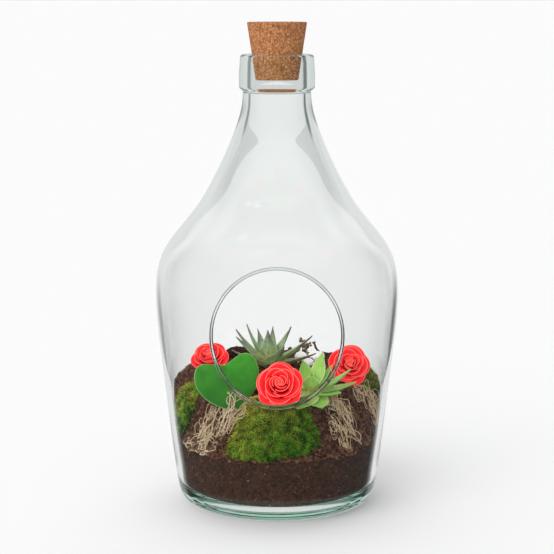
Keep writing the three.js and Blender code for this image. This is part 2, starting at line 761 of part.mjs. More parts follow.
// The bottle's free inside, a little smaller than the glass.
const inside = lathe([
  ...innerWall.map((p) => new THREE.Vector2(Math.max(p.x - SOIL.wallGap, 0), p.y)),
  new THREE.Vector2(0, innerWall.at(-1).y),
]);
const seated = (piece, neighbours = []) => clearOf(piece.intersect(inside), [ground, ...neighbours]);

const moss = {
  front: clearOf(seated(cushion(MOSS.front)), [roses.front.wire, broad, heart.leaf]),
  left: seated(cushion(MOSS.left)),
  right: clearOf(seated(cushion(MOSS.right)), [roses.right.wire, roses.right.bloom]),
};
const pebbles = PEBBLES.map((shape) => seated(stone(shape)));
const underRoots = [...Object.values(moss), broad, heart.leaf, roses.right.bloom, roses.front.bloom];
const tangle = (shape) => seated(makeTangle(shape), underRoots);

add("bottle", makeBottle(), "glass");
add("cork", makeCork(), "cork");
add("soil", soil, "soil");
Object.entries(moss).forEach(([name, solid]) => add(`moss_${name}`, solid, "moss"));
add("spiky_rosette", spiky, "greyLeaf");
add("broad_rosette", broad, "lightLeaf");
add("heart_leaf", heart.leaf, "heartLeaf");
Object.entries(roses).forEach(([name, rose]) => {
  add(`rose_${name}`, rose.bloom, "rose");
  add(`rose_${name}_wire`, rose.wire, "wire");
});
add("dried_roots_left", tangle(TANGLES.left), "driedRoot");
add("dried_roots_right", tangle(TANGLES.right), "driedRoot");
pebbles.forEach((solid, i) => add(`pebble_${i + 1}`, solid, "pebble"));
add("bark_piece", seated(stone(BARK)), "bark");
Object.entries(TWIGS).forEach(([name, shape]) => {
  add(`twig_${name}`, seated(makeTwig(shape), pebbles), "twig");
});

export default terrarium;
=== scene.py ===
"""Bottle terrarium: a clear glass demijohn with a cork and a round access hole in its front wall, planted
with moss, three succulents, foam roses on wires, dried roots, pebbles, bark and twigs.

Every shape is worked out in millimetres with +Z up. The bottle's axis is Z, its foot stands on z = 0 and
the hole faces -Y. Shapes go into Blender in metres.
"""

import logging
import math
from collections.abc import Callable, Sequence
from dataclasses import dataclass, field
from enum import Enum

import bpy
import numpy as np
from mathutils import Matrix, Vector


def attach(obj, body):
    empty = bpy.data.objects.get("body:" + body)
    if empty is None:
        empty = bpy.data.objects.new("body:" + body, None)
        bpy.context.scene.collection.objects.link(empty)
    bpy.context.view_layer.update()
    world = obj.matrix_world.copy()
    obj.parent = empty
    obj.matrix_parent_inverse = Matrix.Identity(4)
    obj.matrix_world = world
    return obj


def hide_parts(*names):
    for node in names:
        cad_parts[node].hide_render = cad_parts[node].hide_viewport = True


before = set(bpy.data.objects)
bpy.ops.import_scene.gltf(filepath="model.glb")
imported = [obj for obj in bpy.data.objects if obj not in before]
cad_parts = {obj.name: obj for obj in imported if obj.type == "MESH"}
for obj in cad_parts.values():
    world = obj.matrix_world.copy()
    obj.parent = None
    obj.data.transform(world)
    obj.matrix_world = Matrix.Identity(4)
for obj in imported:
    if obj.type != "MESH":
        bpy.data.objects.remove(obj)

log = logging.getLogger("terrarium")
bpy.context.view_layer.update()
MM = 0.001
BODY = "root"
Profile = Callable[[np.ndarray], np.ndarray]
Colour = tuple[float, float, float]
Socket = bpy.types.NodeSocket


# ---------------------------------------------------------------- surfaces
@dataclass
class Surface:
    """Points in millimetres, polygons as arrays of equal length, and named values of one number per point."""

    points: np.ndarray
    polygons: list[np.ndarray]
    values: dict[str, np.ndarray] = field(default_factory=dict)

    def volume(self) -> float:
        """Signed volume: the sum of the tetrahedra from the origin to each polygon's fan of triangles.

        Returns:
            Cubic millimetres, below 0 where the faces turn inwards.
        """
        total = 0.0
        for polygon in self.polygons:
            corner = self.points[polygon]
            for k in range(1, polygon.shape[1] - 1):
                wedge = np.cross(corner[:, k], corner[:, k + 1])
                total += float(np.einsum("ij,ij->", corner[:, 0], wedge)) / 6
        return total

    def outward(self) -> "Surface":
        """The same closed surface with its faces turned outwards."""
        if self.volume() < 0:
            self.polygons = [polygon[:, ::-1] for polygon in self.polygons]
        return self

    def trimmed(self) -> "Surface":
        """The same surface without the points that no polygon uses.

        Returns:
            The surface with its points numbered anew.
        """
        used = np.unique(np.concatenate([polygon.ravel() for polygon in self.polygons]))
        number = np.zeros(len(self.points), int)
        number[used] = np.arange(len(used))
        values = {key: value[used] for key, value in self.values.items()}
        return Surface(self.points[used], [number[polygon] for polygon in self.polygons], values)


def joined(surfaces: Sequence[Surface]) -> Surface:
    """Puts several surfaces into one: each one's polygons are shifted past the points before them.

    Args:
        surfaces: Surfaces that carry the same named values.

    Returns:
        One surface with all points, polygons and values.
    """
    starts = np.cumsum([0] + [len(s.points) for s in surfaces[:-1]])
    return Surface(
        np.concatenate([s.points for s in surfaces]),
        [p + start for s, start in zip(surfaces, starts) for p in s.polygons],
        {key: np.concatenate([s.values[key] for s in surfaces]) for key in surfaces[0].values},
    )


def circle(count: int) -> np.ndarray:
    """Angles at equal steps round a full turn."""
    return np.arange(count) / count * 2 * np.pi


def net(rows: int, columns: int) -> list[np.ndarray]:
    """Faces over closed rings of points: quads from ring to ring, and a fan at either end.

    Args:
        rows: How many rings.
        columns: Points in a ring.

    Returns:
        The quads, and the fans to the two points that follow the rings.
    """
    i = np.arange(columns)
    n = (i + 1) % columns
    start = np.arange(rows - 1)[:, None] * columns
    quads = np.stack([start + i, start + n, start + columns + n, start + columns + i], axis=-1)
    last, pole = (rows - 1) * columns, rows * columns
    first_fan = np.stack([n, i, np.full(columns, pole)], axis=-1)
    last_fan = np.stack([last + i, last + n, np.full(columns, pole + 1)], axis=-1)
    return [quads.reshape(-1, 4), first_fan, last_fan]


def repeated(polygons: Sequence[np.ndarray], copies: int, points: int) -> list[np.ndarray]:
    """One shape's polygons again for each of its copies, whose points follow each other."""
    offsets = (np.arange(copies) * points)[:, None, None]
    return [(polygon[None] + offsets).reshape(-1, polygon.shape[1]) for polygon in polygons]


def skin(rows: np.ndarray, values: dict[str, np.ndarray] | None = None) -> Surface:
    """Joins closed rows of points into a skin. The first and the last row close with a fan to their middle.

    Args:
        rows: Points as (rows, columns, 3).
        values: Named numbers as (rows, columns).

    Returns:
        The skin, turned outwards.
    """
    ends = [0, -1]
    points = np.concatenate([rows.reshape(-1, 3), rows[ends].mean(axis=1)])
    numbers = {
        key: np.concatenate([value.ravel(), value[ends].mean(axis=1)])
        for key, value in (values or {}).items()
    }
    return Surface(points, net(*rows.shape[:2]), numbers).outward()


def sheet(front: np.ndarray, back: np.ndarray, values: dict[str, np.ndarray]) -> Surface:
    """Joins two faces of equal grids, and their whole border, into one closed thin sheet.

    Args:
        front: Points of one face as (rows, columns, 3).
        back: Points of the other face, in the same order.
        values: Named numbers as (rows, columns), the same on both faces.

    Returns:
        The sheet, turned outwards.
    """
    r, c = front.shape[:2]
    grid = np.arange(r * c).reshape(r, c)
    face = np.stack([grid[:-1, :-1], grid[:-1, 1:], grid[1:, 1:], grid[1:, :-1]], axis=-1).reshape(-1, 4)
    border = np.concatenate([grid[0, :-1], grid[:-1, -1], grid[-1, :0:-1], grid[:0:-1, 0]])
    after = np.roll(border, -1)
    rim = np.stack([after, border, border + r * c, after + r * c], axis=-1)
    return Surface(
        np.concatenate([front.reshape(-1, 3), back.reshape(-1, 3)]),
        [np.concatenate([face, face[:, ::-1] + r * c, rim])],
        {key: np.tile(value.reshape(-1), 2) for key, value in values.items()},
    ).outward()


def scatter(shape: Surface, places: np.ndarray, frames: np.ndarray, **values: np.ndarray) -> Surface:
    """Copies one small shape to many places: point = place + frame x the shape's own point.

    Args:
        shape: The shape, a few dozen faces at most.
        places: Where each copy stands, (n, 3).
        frames: Each copy's turn and size, (n, 3, 3).
        values: Numbers of one per copy, given to all its points.

    Returns:
        All copies as one surface.
    """
    n, k = len(places), len(shape.points)
    points = places[:, None, :] + np.einsum("nij,kj->nki", frames, shape.points)
    numbers = {key: np.tile(v, n) for key, v in shape.values.items()}
    numbers |= {key: np.repeat(v, k) for key, v in values.items()}
    return Surface(points.reshape(-1, 3), repeated(shape.polygons, n, k), numbers)


def unit(vectors: np.ndarray) -> np.ndarray:
    """The vectors divided by their lengths."""
    return vectors / np.maximum(np.linalg.norm(vectors, axis=-1, keepdims=True), 1e-9)


def tubes(paths: np.ndarray, radius: np.ndarray | float, sides: int) -> Surface:
    """Round tubes along many paths: a ring of points square to each path's direction at each of its points.

    Args:
        paths: Points as (paths, points along each, 3).
        radius: One radius, or one for each point.
        sides: Points in a ring.

    Returns:
        The closed tubes, with the value "along" from 0 to 1 and "strand", one random number a tube.
    """
    n, m = paths.shape[:2]
    ahead = unit(np.gradient(paths, axis=1))
    reference = np.eye(3)[np.argmin(np.abs(ahead.mean(axis=1)), axis=1)][:, None, :]
    side = unit(reference - (reference * ahead).sum(-1, keepdims=True) * ahead)
    up = np.cross(ahead, side)
    angle = circle(sides)
    size = np.broadcast_to(radius, (n, m))[:, :, None, None]
    ring = np.cos(angle)[:, None] * side[:, :, None, :] + np.sin(angle)[:, None] * up[:, :, None, :]
    rings = (paths[:, :, None, :] + size * ring).reshape(n, m * sides, 3)
    points = np.concatenate([rings, paths[:, :1], paths[:, -1:]], axis=1)
    along = np.r_[np.repeat(np.linspace(0, 1, m), sides), 0, 1]
    strand = np.random.default_rng(n * m).random(n)
    return Surface(
        points.reshape(-1, 3),
        repeated(net(m, sides), n, len(along)),
        {"along": np.tile(along, n), "strand": np.repeat(strand, len(along))},
    )


def smoothstep(t: np.ndarray) -> np.ndarray:
    """Eases from 0 to 1: 3t^2 - 2t^3 inside, flat outside."""
    t = np.clip(t, 0, 1)
    return t * t * (3 - 2 * t)


def ripple(points: np.ndarray, wavelength: float, seed: int, waves: int = 12) -> np.ndarray:
    """Smooth noise: the sum of sine waves that run in random directions, each of about one wavelength.

    Args:
        points: Where it is read, (..., 3) or (..., 2).
        wavelength: In the points' own unit.
        seed: Which pattern it is.
        waves: How many waves are added.

    Returns:
        Numbers round 0, nearly all from -1 to 1.
    """
    rng = np.random.default_rng(seed)
    heading = unit(rng.normal(size=(waves, points.shape[-1])))
    heading *= 2 * np.pi / wavelength * rng.uniform(0.6, 1.5, (waves, 1))
    phase = rng.uniform(0, 2 * np.pi, waves)
    return np.sin(points @ heading.T + phase).sum(-1) / math.sqrt(waves / 2) * 0.6


def spline(knots: Sequence[tuple[float, float]], count: int) -> np.ndarray:
    """A smooth curve through knots: in each coordinate a natural cubic over the length of the chords.

    Args:
        knots: The points that it passes.
        count: How many points to return.

    Returns:
        Points on the curve, (count, 2).
    """
    p = np.asarray(knots, float)
    s = np.r_[0, np.cumsum(np.linalg.norm(np.diff(p, axis=0), axis=1))]
    h = np.diff(s)
    i = np.arange(1, len(p) - 1)
    matrix, right = np.eye(len(p)), np.zeros_like(p)
    matrix[i, i - 1], matrix[i, i], matrix[i, i + 1] = h[i - 1], 2 * (h[i - 1] + h[i]), h[i]
    right[i] = 6 * ((p[i + 1] - p[i]) / h[i][:, None] - (p[i] - p[i - 1]) / h[i - 1][:, None])
    bend = np.linalg.solve(matrix, right)
    at = np.linspace(0, s[-1], count)
    k = np.clip(np.searchsorted(s, at) - 1, 0, len(h) - 1)
    a, b, w = (s[k + 1] - at)[:, None], (at - s[k])[:, None], h[k][:, None]
    return (
        (bend[k] * a**3 + bend[k + 1] * b**3) / (6 * w)
        + (p[k] / w - bend[k] * w / 6) * a
        + (p[k + 1] / w - bend[k + 1] * w / 6) * b
    )


def arc(centre: tuple[float, float], radius: float, start: float, end: float, steps: int) -> np.ndarray:
    """Points of a circle's arc from one angle to another, in degrees."""
    a = np.radians(np.linspace(start, end, steps + 1))
    return np.stack([centre[0] + radius * np.cos(a), centre[1] + radius * np.sin(a)], axis=-1)


def direction(azimuth: float, rise: float) -> np.ndarray:
    """A unit vector from its angle round Z and its angle above level, in degrees."""
    a, e = math.radians(azimuth), math.radians(rise)
    return np.array([math.cos(a) * math.cos(e), math.sin(a) * math.cos(e), math.sin(e)])


def about(axis: np.ndarray) -> np.ndarray:
    """Frames whose third axis is the given one; the other two are square to it.

    Args:
        axis: One direction a frame, (n, 3).

    Returns:
        The frames, (n, 3, 3).
    """
    axis = unit(axis)
    other = np.eye(3)[np.argmin(np.abs(axis), axis=1)]
    first = unit(np.cross(other, axis))
    return np.stack([first, np.cross(axis, first), axis], axis=-1)


def spun(angles: np.ndarray) -> np.ndarray:
    """Turns about Z by the given angles, as (n, 3, 3).

    Args:
        angles: In radians, (n,).

    Returns:
        The turns.
    """
    c, s, o = np.cos(angles), np.sin(angles), np.zeros_like(angles)
    rows = [np.stack([c, -s, o], -1), np.stack([s, c, o], -1), np.stack([o, o, o + 1], -1)]
    return np.stack(rows, axis=-2)


def turned(profile: np.ndarray, columns: int, start: float = 0.0) -> np.ndarray:
    """Carries a profile of radius and height round Z.

    Args:
        profile: Its points, (rows, 2).
        columns: How many steps the full turn has.
        start: The angle of the first column.

    Returns:
        Points as (rows, columns, 3).
    """
    angle = circle(columns) + start
    radius, height = profile[:, 0:1], profile[:, 1:2] + 0 * angle
    return np.stack([radius * np.cos(angle), radius * np.sin(angle), height], axis=-1)


def globe(columns: int, rows: int) -> np.ndarray:
    """A unit ball's points as (rows, columns, 3), in rings at equal steps of the polar angle."""
    polar = np.linspace(0, np.pi, rows + 2)[1:-1]
    return turned(np.stack([np.sin(polar), np.cos(polar)], axis=-1), columns)


# ---------------------------------------------------------------- materials
def tone(code: str) -> Colour:
    """A colour from its six hexadecimal digits, as linear light.

    Args:
        code: The digits, two each for red, green and blue.

    Returns:
        Red, green and blue from 0 to 1.
    """
    parts = np.array([int(code[k : k + 2], 16) for k in (0, 2, 4)]) / 255
    light = np.where(parts > 0.04045, ((parts + 0.055) / 1.055) ** 2.4, parts / 12.92)
    return (float(light[0]), float(light[1]), float(light[2]))


class Wiring:
    """A node tree, and the steps that the finishes and the room are wired with."""

    def __init__(self, tree: bpy.types.NodeTree) -> None:
        """Takes its owner's tree and empties it."""
        self.tree = tree
        self.tree.nodes.clear()

    def node(self, kind: str, **settings: object) -> bpy.types.Node:
        """Adds a node and sets its own properties.

        Args:
            kind: The node's type.
            settings: Its properties.

        Returns:
            The node.
        """
        made = self.tree.nodes.new(kind)
        for key, value in settings.items():
            setattr(made, key, value)
        return made

    def link(self, source: Socket, target: Socket) -> None:
        """Joins two sockets."""
        self.tree.links.new(source, target)

    def feed(self, target: Socket, value: Socket | Colour | float) -> None:
        """Links a socket to an input, or sets a constant on the input itself."""
        if isinstance(value, Socket):
            self.link(value, target)
        else:
            target.default_value = (*value, 1.0) if isinstance(value, tuple) else value

    def maths(self, operation: str, a: Socket | float, b: Socket | float = 0.0) -> Socket:
        """One step of arithmetic.

        Args:
            operation: Its name in capitals.
            a: The first number.
            b: The second number.

        Returns:
            The result.
        """
        made = self.node("ShaderNodeMath", operation=operation)
        for target, value in zip(made.inputs, (a, b)):
            self.feed(target, value)
        return made.outputs[0]

    def eased(self, source: Socket, start: float, end: float) -> Socket:
        """A number eased from 0 at the start to 1 at the end.

        Args:
            source: The number.
            start: Where it begins to rise.
            end: Where it is 1.

        Returns:
            The eased number.
        """
        made = self.node("ShaderNodeMapRange", interpolation_type="SMOOTHSTEP")
        for target, value in (("Value", source), ("From Min", start), ("From Max", end)):
            self.feed(made.inputs[target], value)
        return made.outputs[0]

    def blended(self, share: Socket | float, first: Socket, second: Socket) -> Socket:
        """Two shaders in one, with that share of the second.

        Args:
            share: From 0 to 1.
            first: One shader.
            second: The other.

        Returns:
            The mixed shader.
        """
        made = self.node("ShaderNodeMixShader")
        for target, value in zip(made.inputs, (share, first, second)):
            self.feed(target, value)
        return made.outputs[0]


class Paint(Wiring):
    """One procedural material on a Principled shader."""

    def __init__(self, name: str, **settings: float | Colour) -> None:
        """Starts the material.

        Args:
            name: The material's name.
            settings: Constants of the shader, such as Roughness, with _ for a space.
        """
        self.material = bpy.data.materials.new(name)
        self.material.use_nodes = True
        super().__init__(self.material.node_tree)
        self.output = self.node("ShaderNodeOutputMaterial")
        self.shader = self.node("ShaderNodeBsdfPrincipled")
        for key, value in settings.items():
            self.feed(self.shader.inputs[key.replace("_", " ")], value)
        self.show(self.shader.outputs[0])
        self.place = self.node("ShaderNodeTexCoord").outputs["Object"]

    def show(self, shader: Socket) -> None:
        """Uses a shader for the surface."""
        self.link(shader, self.output.inputs["Surface"])

    def noise(
        self, size_mm: float, detail: float = 4, roughness: float = 0.55, vector: Socket | None = None
    ) -> Socket:
        """Cloudy noise whose features are about that size.

        Args:
            size_mm: The features' size.
            detail: How many finer layers it has.
            roughness: How strong those are.
            vector: Where it is read, if not at the point itself.

        Returns:
            A number from 0 to 1.
        """
        made = self.node("ShaderNodeTexNoise")
        made.inputs["Scale"].default_value = 1 / (size_mm * MM)
        made.inputs["Detail"].default_value = detail
        made.inputs["Roughness"].default_value = roughness
        self.link(vector or self.place, made.inputs["Vector"])
        return made.outputs["Fac"]

    def cells(self, size_mm: float, what: str = "Color") -> Socket:
        """Grains of about that size: what is Color, one random colour a grain, or Distance.

        Args:
            size_mm: The grains' size.
            what: Which output is wanted.

        Returns:
            The colour or the distance.
        """
        made = self.node("ShaderNodeTexVoronoi")
        made.inputs["Scale"].default_value = 1 / (size_mm * MM)
        self.link(self.place, made.inputs["Vector"])
        return made.outputs[what]

    def value(self, name: str) -> Socket:
        """A number that the mesh carries for each point."""
        return self.node("ShaderNodeAttribute", attribute_name=name).outputs["Fac"]

    def ramp(self, source: Socket, stops: Sequence[tuple[float, Colour | float]]) -> Socket:
        """Turns a number into a colour by stops of position and colour; a plain number is a grey.

        Args:
            source: The number.
            stops: Positions, each with its colour or grey.

        Returns:
            The colour.
        """
        made = self.node("ShaderNodeValToRGB")
        elements = made.color_ramp.elements
        while len(elements) < len(stops):
            elements.new(0.5)
        for element, (position, colour) in zip(elements, stops):
            element.position = position
            rgb = colour if isinstance(colour, tuple) else (colour, colour, colour)
            element.color = (*rgb, 1.0)
        self.link(source, made.inputs["Fac"])
        return made.outputs["Color"]

    def mixed(self, factor: Socket | float, a: Socket | Colour, b: Socket | Colour) -> Socket:
        """Blends two colours.

        Args:
            factor: The second colour's share.
            a: The first colour.
            b: The second colour.

        Returns:
            The blend.
        """
        made = self.node("ShaderNodeMix", data_type="RGBA")
        for target, value in ((0, factor), (6, a), (7, b)):
            self.feed(made.inputs[target], value)
        return made.outputs[2]

    def colour(self, source: Socket) -> None:
        """Uses a socket as the base colour."""
        self.link(source, self.shader.inputs["Base Color"])

    def relief(self, height: Socket, depth_mm: float, strength: float) -> None:
        """Uses a socket as fine relief of that depth, on top of any relief already there.

        Args:
            height: The relief's height from 0 to 1.
            depth_mm: How deep it is.
            strength: How much of it is used.
        """
        made = self.node("ShaderNodeBump")
        made.inputs["Strength"].default_value = strength
        made.inputs["Distance"].default_value = depth_mm * MM
        self.link(height, made.inputs["Height"])
        normal = self.shader.inputs["Normal"]
        if normal.is_linked:
            self.link(normal.links[0].from_socket, made.inputs["Normal"])
        self.link(made.outputs[0], normal)

    def lit_through(self, colour: Socket, share: float) -> None:
        """Lets a thin piece glow with the light that falls on its other side.

        Args:
            colour: The colour of the light that comes through.
            share: How much of the surface it takes.
        """
        through = self.node("ShaderNodeBsdfTranslucent")
        self.link(colour, through.inputs["Color"])
        self.show(self.blended(share, self.shader.outputs[0], through.outputs[0]))


@dataclass(frozen=True)
class GlassFinish:
    """Clear soda glass, faintly green where it is thick. Shadows and light bounced off the plants pass it."""

    refraction: float = 1.5
    depth_tint: Colour = (0.62, 0.88, 0.78)
    density: float = 12.0
    shadow: Colour = (0.96, 0.975, 0.97)

    def material(self) -> bpy.types.Material:
        """Builds the material.

        Returns:
            The material.
        """
        paint = Paint("clear_glass", IOR=self.refraction, Roughness=0.0, Base_Color=(1.0, 1.0, 1.0))
        paint.feed(paint.shader.inputs["Transmission Weight"], 1.0)
        through = paint.node("ShaderNodeBsdfTransparent")
        paint.feed(through.inputs["Color"], self.shadow)
        path = paint.node("ShaderNodeLightPath").outputs
        passes = paint.maths("MAXIMUM", path["Is Shadow Ray"], path["Is Diffuse Ray"])
        paint.show(paint.blended(passes, paint.shader.outputs[0], through.outputs[0]))
        body = paint.node("ShaderNodeVolumeAbsorption")
        paint.feed(body.inputs["Color"], self.depth_tint)
        paint.feed(body.inputs["Density"], self.density)
        paint.link(body.outputs[0], paint.output.inputs["Volume"])
        return paint.material


@dataclass(frozen=True)
class CorkFinish:
    """Agglomerated cork: pressed granules of many browns with dark crumbs of bark between them."""

    grain_mm: float = 1.3
    crumb_mm: float = 0.9
    pale: Colour = tone("d9a070")
    middle: Colour = tone("c07e4c")
    deep: Colour = tone("985c34")
    crumb: Colour = tone("4e2816")

    def material(self) -> bpy.types.Material:
        """Builds the material.

        Returns:
            The material.
        """
        paint = Paint("pressed_cork", Roughness=0.82)
        grain = paint.cells(self.grain_mm)
        browns = paint.ramp(grain, [(0.12, self.deep), (0.5, self.middle), (0.85, self.pale)])
        seams = paint.cells(self.grain_mm, "Distance")
        browns = paint.mixed(paint.ramp(seams, [(0.35, 0.0), (0.75, 0.55)]), browns, self.deep)
        crumbs = paint.ramp(paint.noise(self.crumb_mm, 2, 0.6), [(0.59, 0.0), (0.66, 0.9)])
        paint.colour(paint.mixed(crumbs, browns, self.crumb))
        paint.relief(paint.noise(0.8, 5, 0.7), 0.5, 0.6)
        paint.relief(seams, 0.3, 0.5)
        return paint.material


@dataclass(frozen=True)
class SoilFinish:
    """Moist peat: dark crumbs, with reddish bark and pale specks among them."""

    dark: Colour = tone("190e09")
    body: Colour = tone("3f261b")
    reddish: Colour = tone("774731")
    speck: Colour = tone("b8906e")
    name: str = "moist_peat"
    clod_mm: float = 3.2
    crumb_mm: float = 0.9
    speck_mm: float = 1.1

    def material(self) -> bpy.types.Material:
        """Builds the material.

        Returns:
            The material.
        """
        paint = Paint(self.name, Roughness=0.9)
        clods = paint.noise(self.clod_mm, 6, 0.68)
        base = paint.ramp(clods, [(0.3, self.dark), (0.5, self.body), (0.7, self.reddish)])
        grains = paint.cells(self.crumb_mm)
        crumbs = paint.ramp(grains, [(0.15, self.dark), (0.55, self.body), (0.95, self.reddish)])
        blend = paint.mixed(0.5, base, crumbs)
        specks = paint.ramp(paint.cells(self.speck_mm), [(0.9, 0.0), (0.96, 0.7)])
        paint.colour(paint.mixed(specks, blend, self.speck))
        paint.relief(clods, 1.4, 0.9)
        paint.relief(paint.cells(self.crumb_mm, "Distance"), 0.7, 0.8)
        return paint.material


@dataclass(frozen=True)
class MossFinish:
    """Moss from its brown feet to its bright tips: "height" runs up a stem, "hue" from green to olive over
    the cushion, and "shade" is each stem's lightness: a random tone of its own plus painted light on the
    crests of the tufts. The feet are painted near-black, darker than brown stems alone, as painted shade down
    in the cushion."""

    foot: Colour = tone("090c02")
    olive: Colour = tone("756f10")
    green: Colour = tone("1f4f08")
    tip_olive: Colour = tone("f2e66a")
    tip_green: Colour = tone("96dc2c")

    def material(self) -> bpy.types.Material:
        """Builds the material.

        Returns:
            The material.
        """
        paint = Paint("cushion_moss", Roughness=0.8, Specular_IOR_Level=0.2)
        hue, height, shade = paint.value("hue"), paint.value("height"), paint.value("shade")
        body = paint.mixed(hue, self.green, self.olive)
        tips = paint.mixed(hue, self.tip_green, self.tip_olive)
        # shade carries painted light: stems on the tufts' crests lighter, those in the hollows darker
        lit = paint.maths("MULTIPLY", paint.maths("POWER", height, 1.3), shade)
        grown = paint.mixed(lit, body, tips)
        # painted shade: low on a stem the colour sinks to the near-black foot
        low = paint.ramp(height, [(0.1, 1.0), (0.7, 0.0)])
        paint.colour(paint.mixed(low, grown, self.foot))
        return paint.material


@dataclass(frozen=True)
class LeafFinish:
    """A fleshy leaf. "along" runs from foot to tip, "across" from the middle to the edge."""

    name: str
    foot: Colour
    body: Colour
    tip: Colour
    edge: Colour
    streak: Colour
    speckle: Colour
    speckle_share: float
    edge_from: float = 0.88
    roughness: float = 0.42
    glow: float = 0.25
    cloud_mm: float = 6.0
    dot_mm: float = 1.1
    lines_across: float = 9.0
    lines_along: float = 2.0
    line_share: float = 0.5

    def material(self) -> bpy.types.Material:
        """Builds the material: clouds, lengthwise streaks, raised speckles and an edge of its own colour. On
        the heart leaf, the lighter top and the pale edge are painted light instead.

        Returns:
            The material.
        """
        paint = Paint(self.name, Roughness=self.roughness, Specular_IOR_Level=0.4)
        along, across = paint.value("along"), paint.value("across")
        base = paint.ramp(along, [(0.12, self.foot), (0.5, self.body), (1.0, self.tip)])
        cloud = paint.ramp(paint.noise(self.cloud_mm, 4, 0.6), [(0.45, 0.0), (0.68, 0.5)])
        base = paint.mixed(cloud, base, self.streak)
        grain = paint.node("ShaderNodeCombineXYZ")
        paint.link(paint.maths("MULTIPLY", across, self.lines_across), grain.inputs[0])
        paint.link(paint.maths("MULTIPLY", along, self.lines_along), grain.inputs[1])
        lines = paint.noise(1 / MM, 3, 0.5, vector=grain.outputs[0])
        base = paint.mixed(paint.ramp(lines, [(0.5, 0.0), (0.7, self.line_share)]), base, self.streak)
        dots = paint.cells(self.dot_mm, "Distance")
        base = paint.mixed(paint.ramp(dots, [(0.12, self.speckle_share), (0.3, 0.0)]), base, self.speckle)
        rim = paint.ramp(across, [(self.edge_from, 0.0), (0.985, 1.0)])
        base = paint.mixed(rim, base, self.edge)
        paint.colour(base)
        paint.relief(dots, 0.12, 0.4)
        paint.lit_through(base, self.glow)
        return paint.material


@dataclass(frozen=True)
class FoamFinish:
    """Thin coral foam. "free" is 1 at a petal's free edge and "depth" is 0 down in the bloom, where a deep
    tone is painted shade.
    """

    # painted shade: the tone down in the bloom, between the petals
    deep: Colour = tone("a80414")
    body: Colour = tone("f4363e")
    edge: Colour = tone("ff8e82")
    glow: float = 0.25
    # painted glow: the foam lights itself a little in its own colours
    painted_glow: float = 0.34
    pore_mm: float = 0.5

    def material(self) -> bpy.types.Material:
        """Builds the material. Light wanders through foam, which a painted glow, a little light of its own,
        stands for.

        Returns:
            The material.
        """
        paint = Paint(
            "coral_foam", Roughness=0.8, Specular_IOR_Level=0.03, Emission_Strength=self.painted_glow
        )
        # painted shade: the petals darken to the deep tone towards their roots
        base = paint.ramp(paint.value("depth"), [(0.3, self.deep), (0.75, self.body)])
        rim = paint.ramp(paint.value("free"), [(0.955, 0.0), (0.985, 0.9)])
        base = paint.mixed(rim, base, self.edge)
        paint.colour(base)
        # painted glow, in the petals' colours
        paint.link(base, paint.shader.inputs["Emission Color"])
        paint.relief(paint.noise(self.pore_mm, 3, 0.6), 0.06, 0.4)
        paint.lit_through(base, self.glow)
        return paint.material


@dataclass(frozen=True)
class DryFinish:
    """Anything dry: two tones in clouds, fine relief, and each strand a little lighter or darker."""

    name: str
    dark: Colour
    light: Colour
    grain_mm: float = 2.0
    relief_mm: float = 0.3
    roughness: float = 0.85
    by_strand: bool = False
    # painted glow: a light of the piece's own, used by the quartz
    painted_glow: float = 0.0

    def material(self) -> bpy.types.Material:
        """Builds the material. Milky stone scatters light inside it, which a painted glow, a light of its
        own, stands for.

        Returns:
            The material.
        """
        # painted glow in the light tone
        paint = Paint(self.name, Roughness=self.roughness, Emission_Strength=self.painted_glow)
        paint.feed(paint.shader.inputs["Emission Color"], self.light)
        cloud = paint.noise(self.grain_mm, 5, 0.65)
        base = paint.ramp(cloud, [(0.3, self.dark), (0.7, self.light)])
        if self.by_strand:
            shade = paint.ramp(paint.value("strand"), [(0.0, 0.0), (1.0, 0.6)])
            base = paint.mixed(shade, base, self.dark)
        paint.colour(base)
        paint.relief(cloud, self.relief_mm, 0.8)
        return paint.material


# ---------------------------------------------------------------- putting pieces in place
def put(
    name: str,
    surface: Surface,
    material: bpy.types.Material,
    stands_for: Sequence[str] = (),
    sharp_from: float | None = None,
) -> None:
    """Makes a piece of a surface, in metres, riding on the terrarium.

    Args:
        name: The piece's name.
        surface: Its shape in millimetres.
        material: Its finish.
        stands_for: The CAD nodes that it replaces.
        sharp_from: Edges bent more than this many degrees stay sharp.
    """
    mesh = bpy.data.meshes.new(name)
    mesh.vertices.add(len(surface.points))
    mesh.vertices.foreach_set("co", (surface.points * MM).astype(np.float32).ravel())
    corners = np.concatenate([p.ravel() for p in surface.polygons]).astype(np.int32)
    sizes = np.concatenate([np.full(len(p), p.shape[1]) for p in surface.polygons])
    mesh.loops.add(len(corners))
    mesh.loops.foreach_set("vertex_index", corners)
    mesh.polygons.add(len(sizes))
    mesh.polygons.foreach_set("loop_start", (np.cumsum(sizes) - sizes).astype(np.int32))
    mesh.polygons.foreach_set("use_smooth", np.ones(len(sizes), bool))
    for key, numbers in surface.values.items():
        made = mesh.attributes.new(key, "FLOAT", "POINT")
        made.data.foreach_set("value", numbers.astype(np.float32))
    mesh.update(calc_edges=True)
    if sharp_from is not None:
        mesh.set_sharp_from_angle(angle=math.radians(sharp_from))
    mesh.materials.append(material)
    piece = bpy.data.objects.new(name, mesh)
    bpy.context.scene.collection.objects.link(piece)
    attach(piece, BODY)
    if stands_for:
        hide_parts(*stands_for)
    triangles = int((sizes - 2).sum())
    log.info("%s: %d points, %d triangles", name, len(surface.points), triangles)


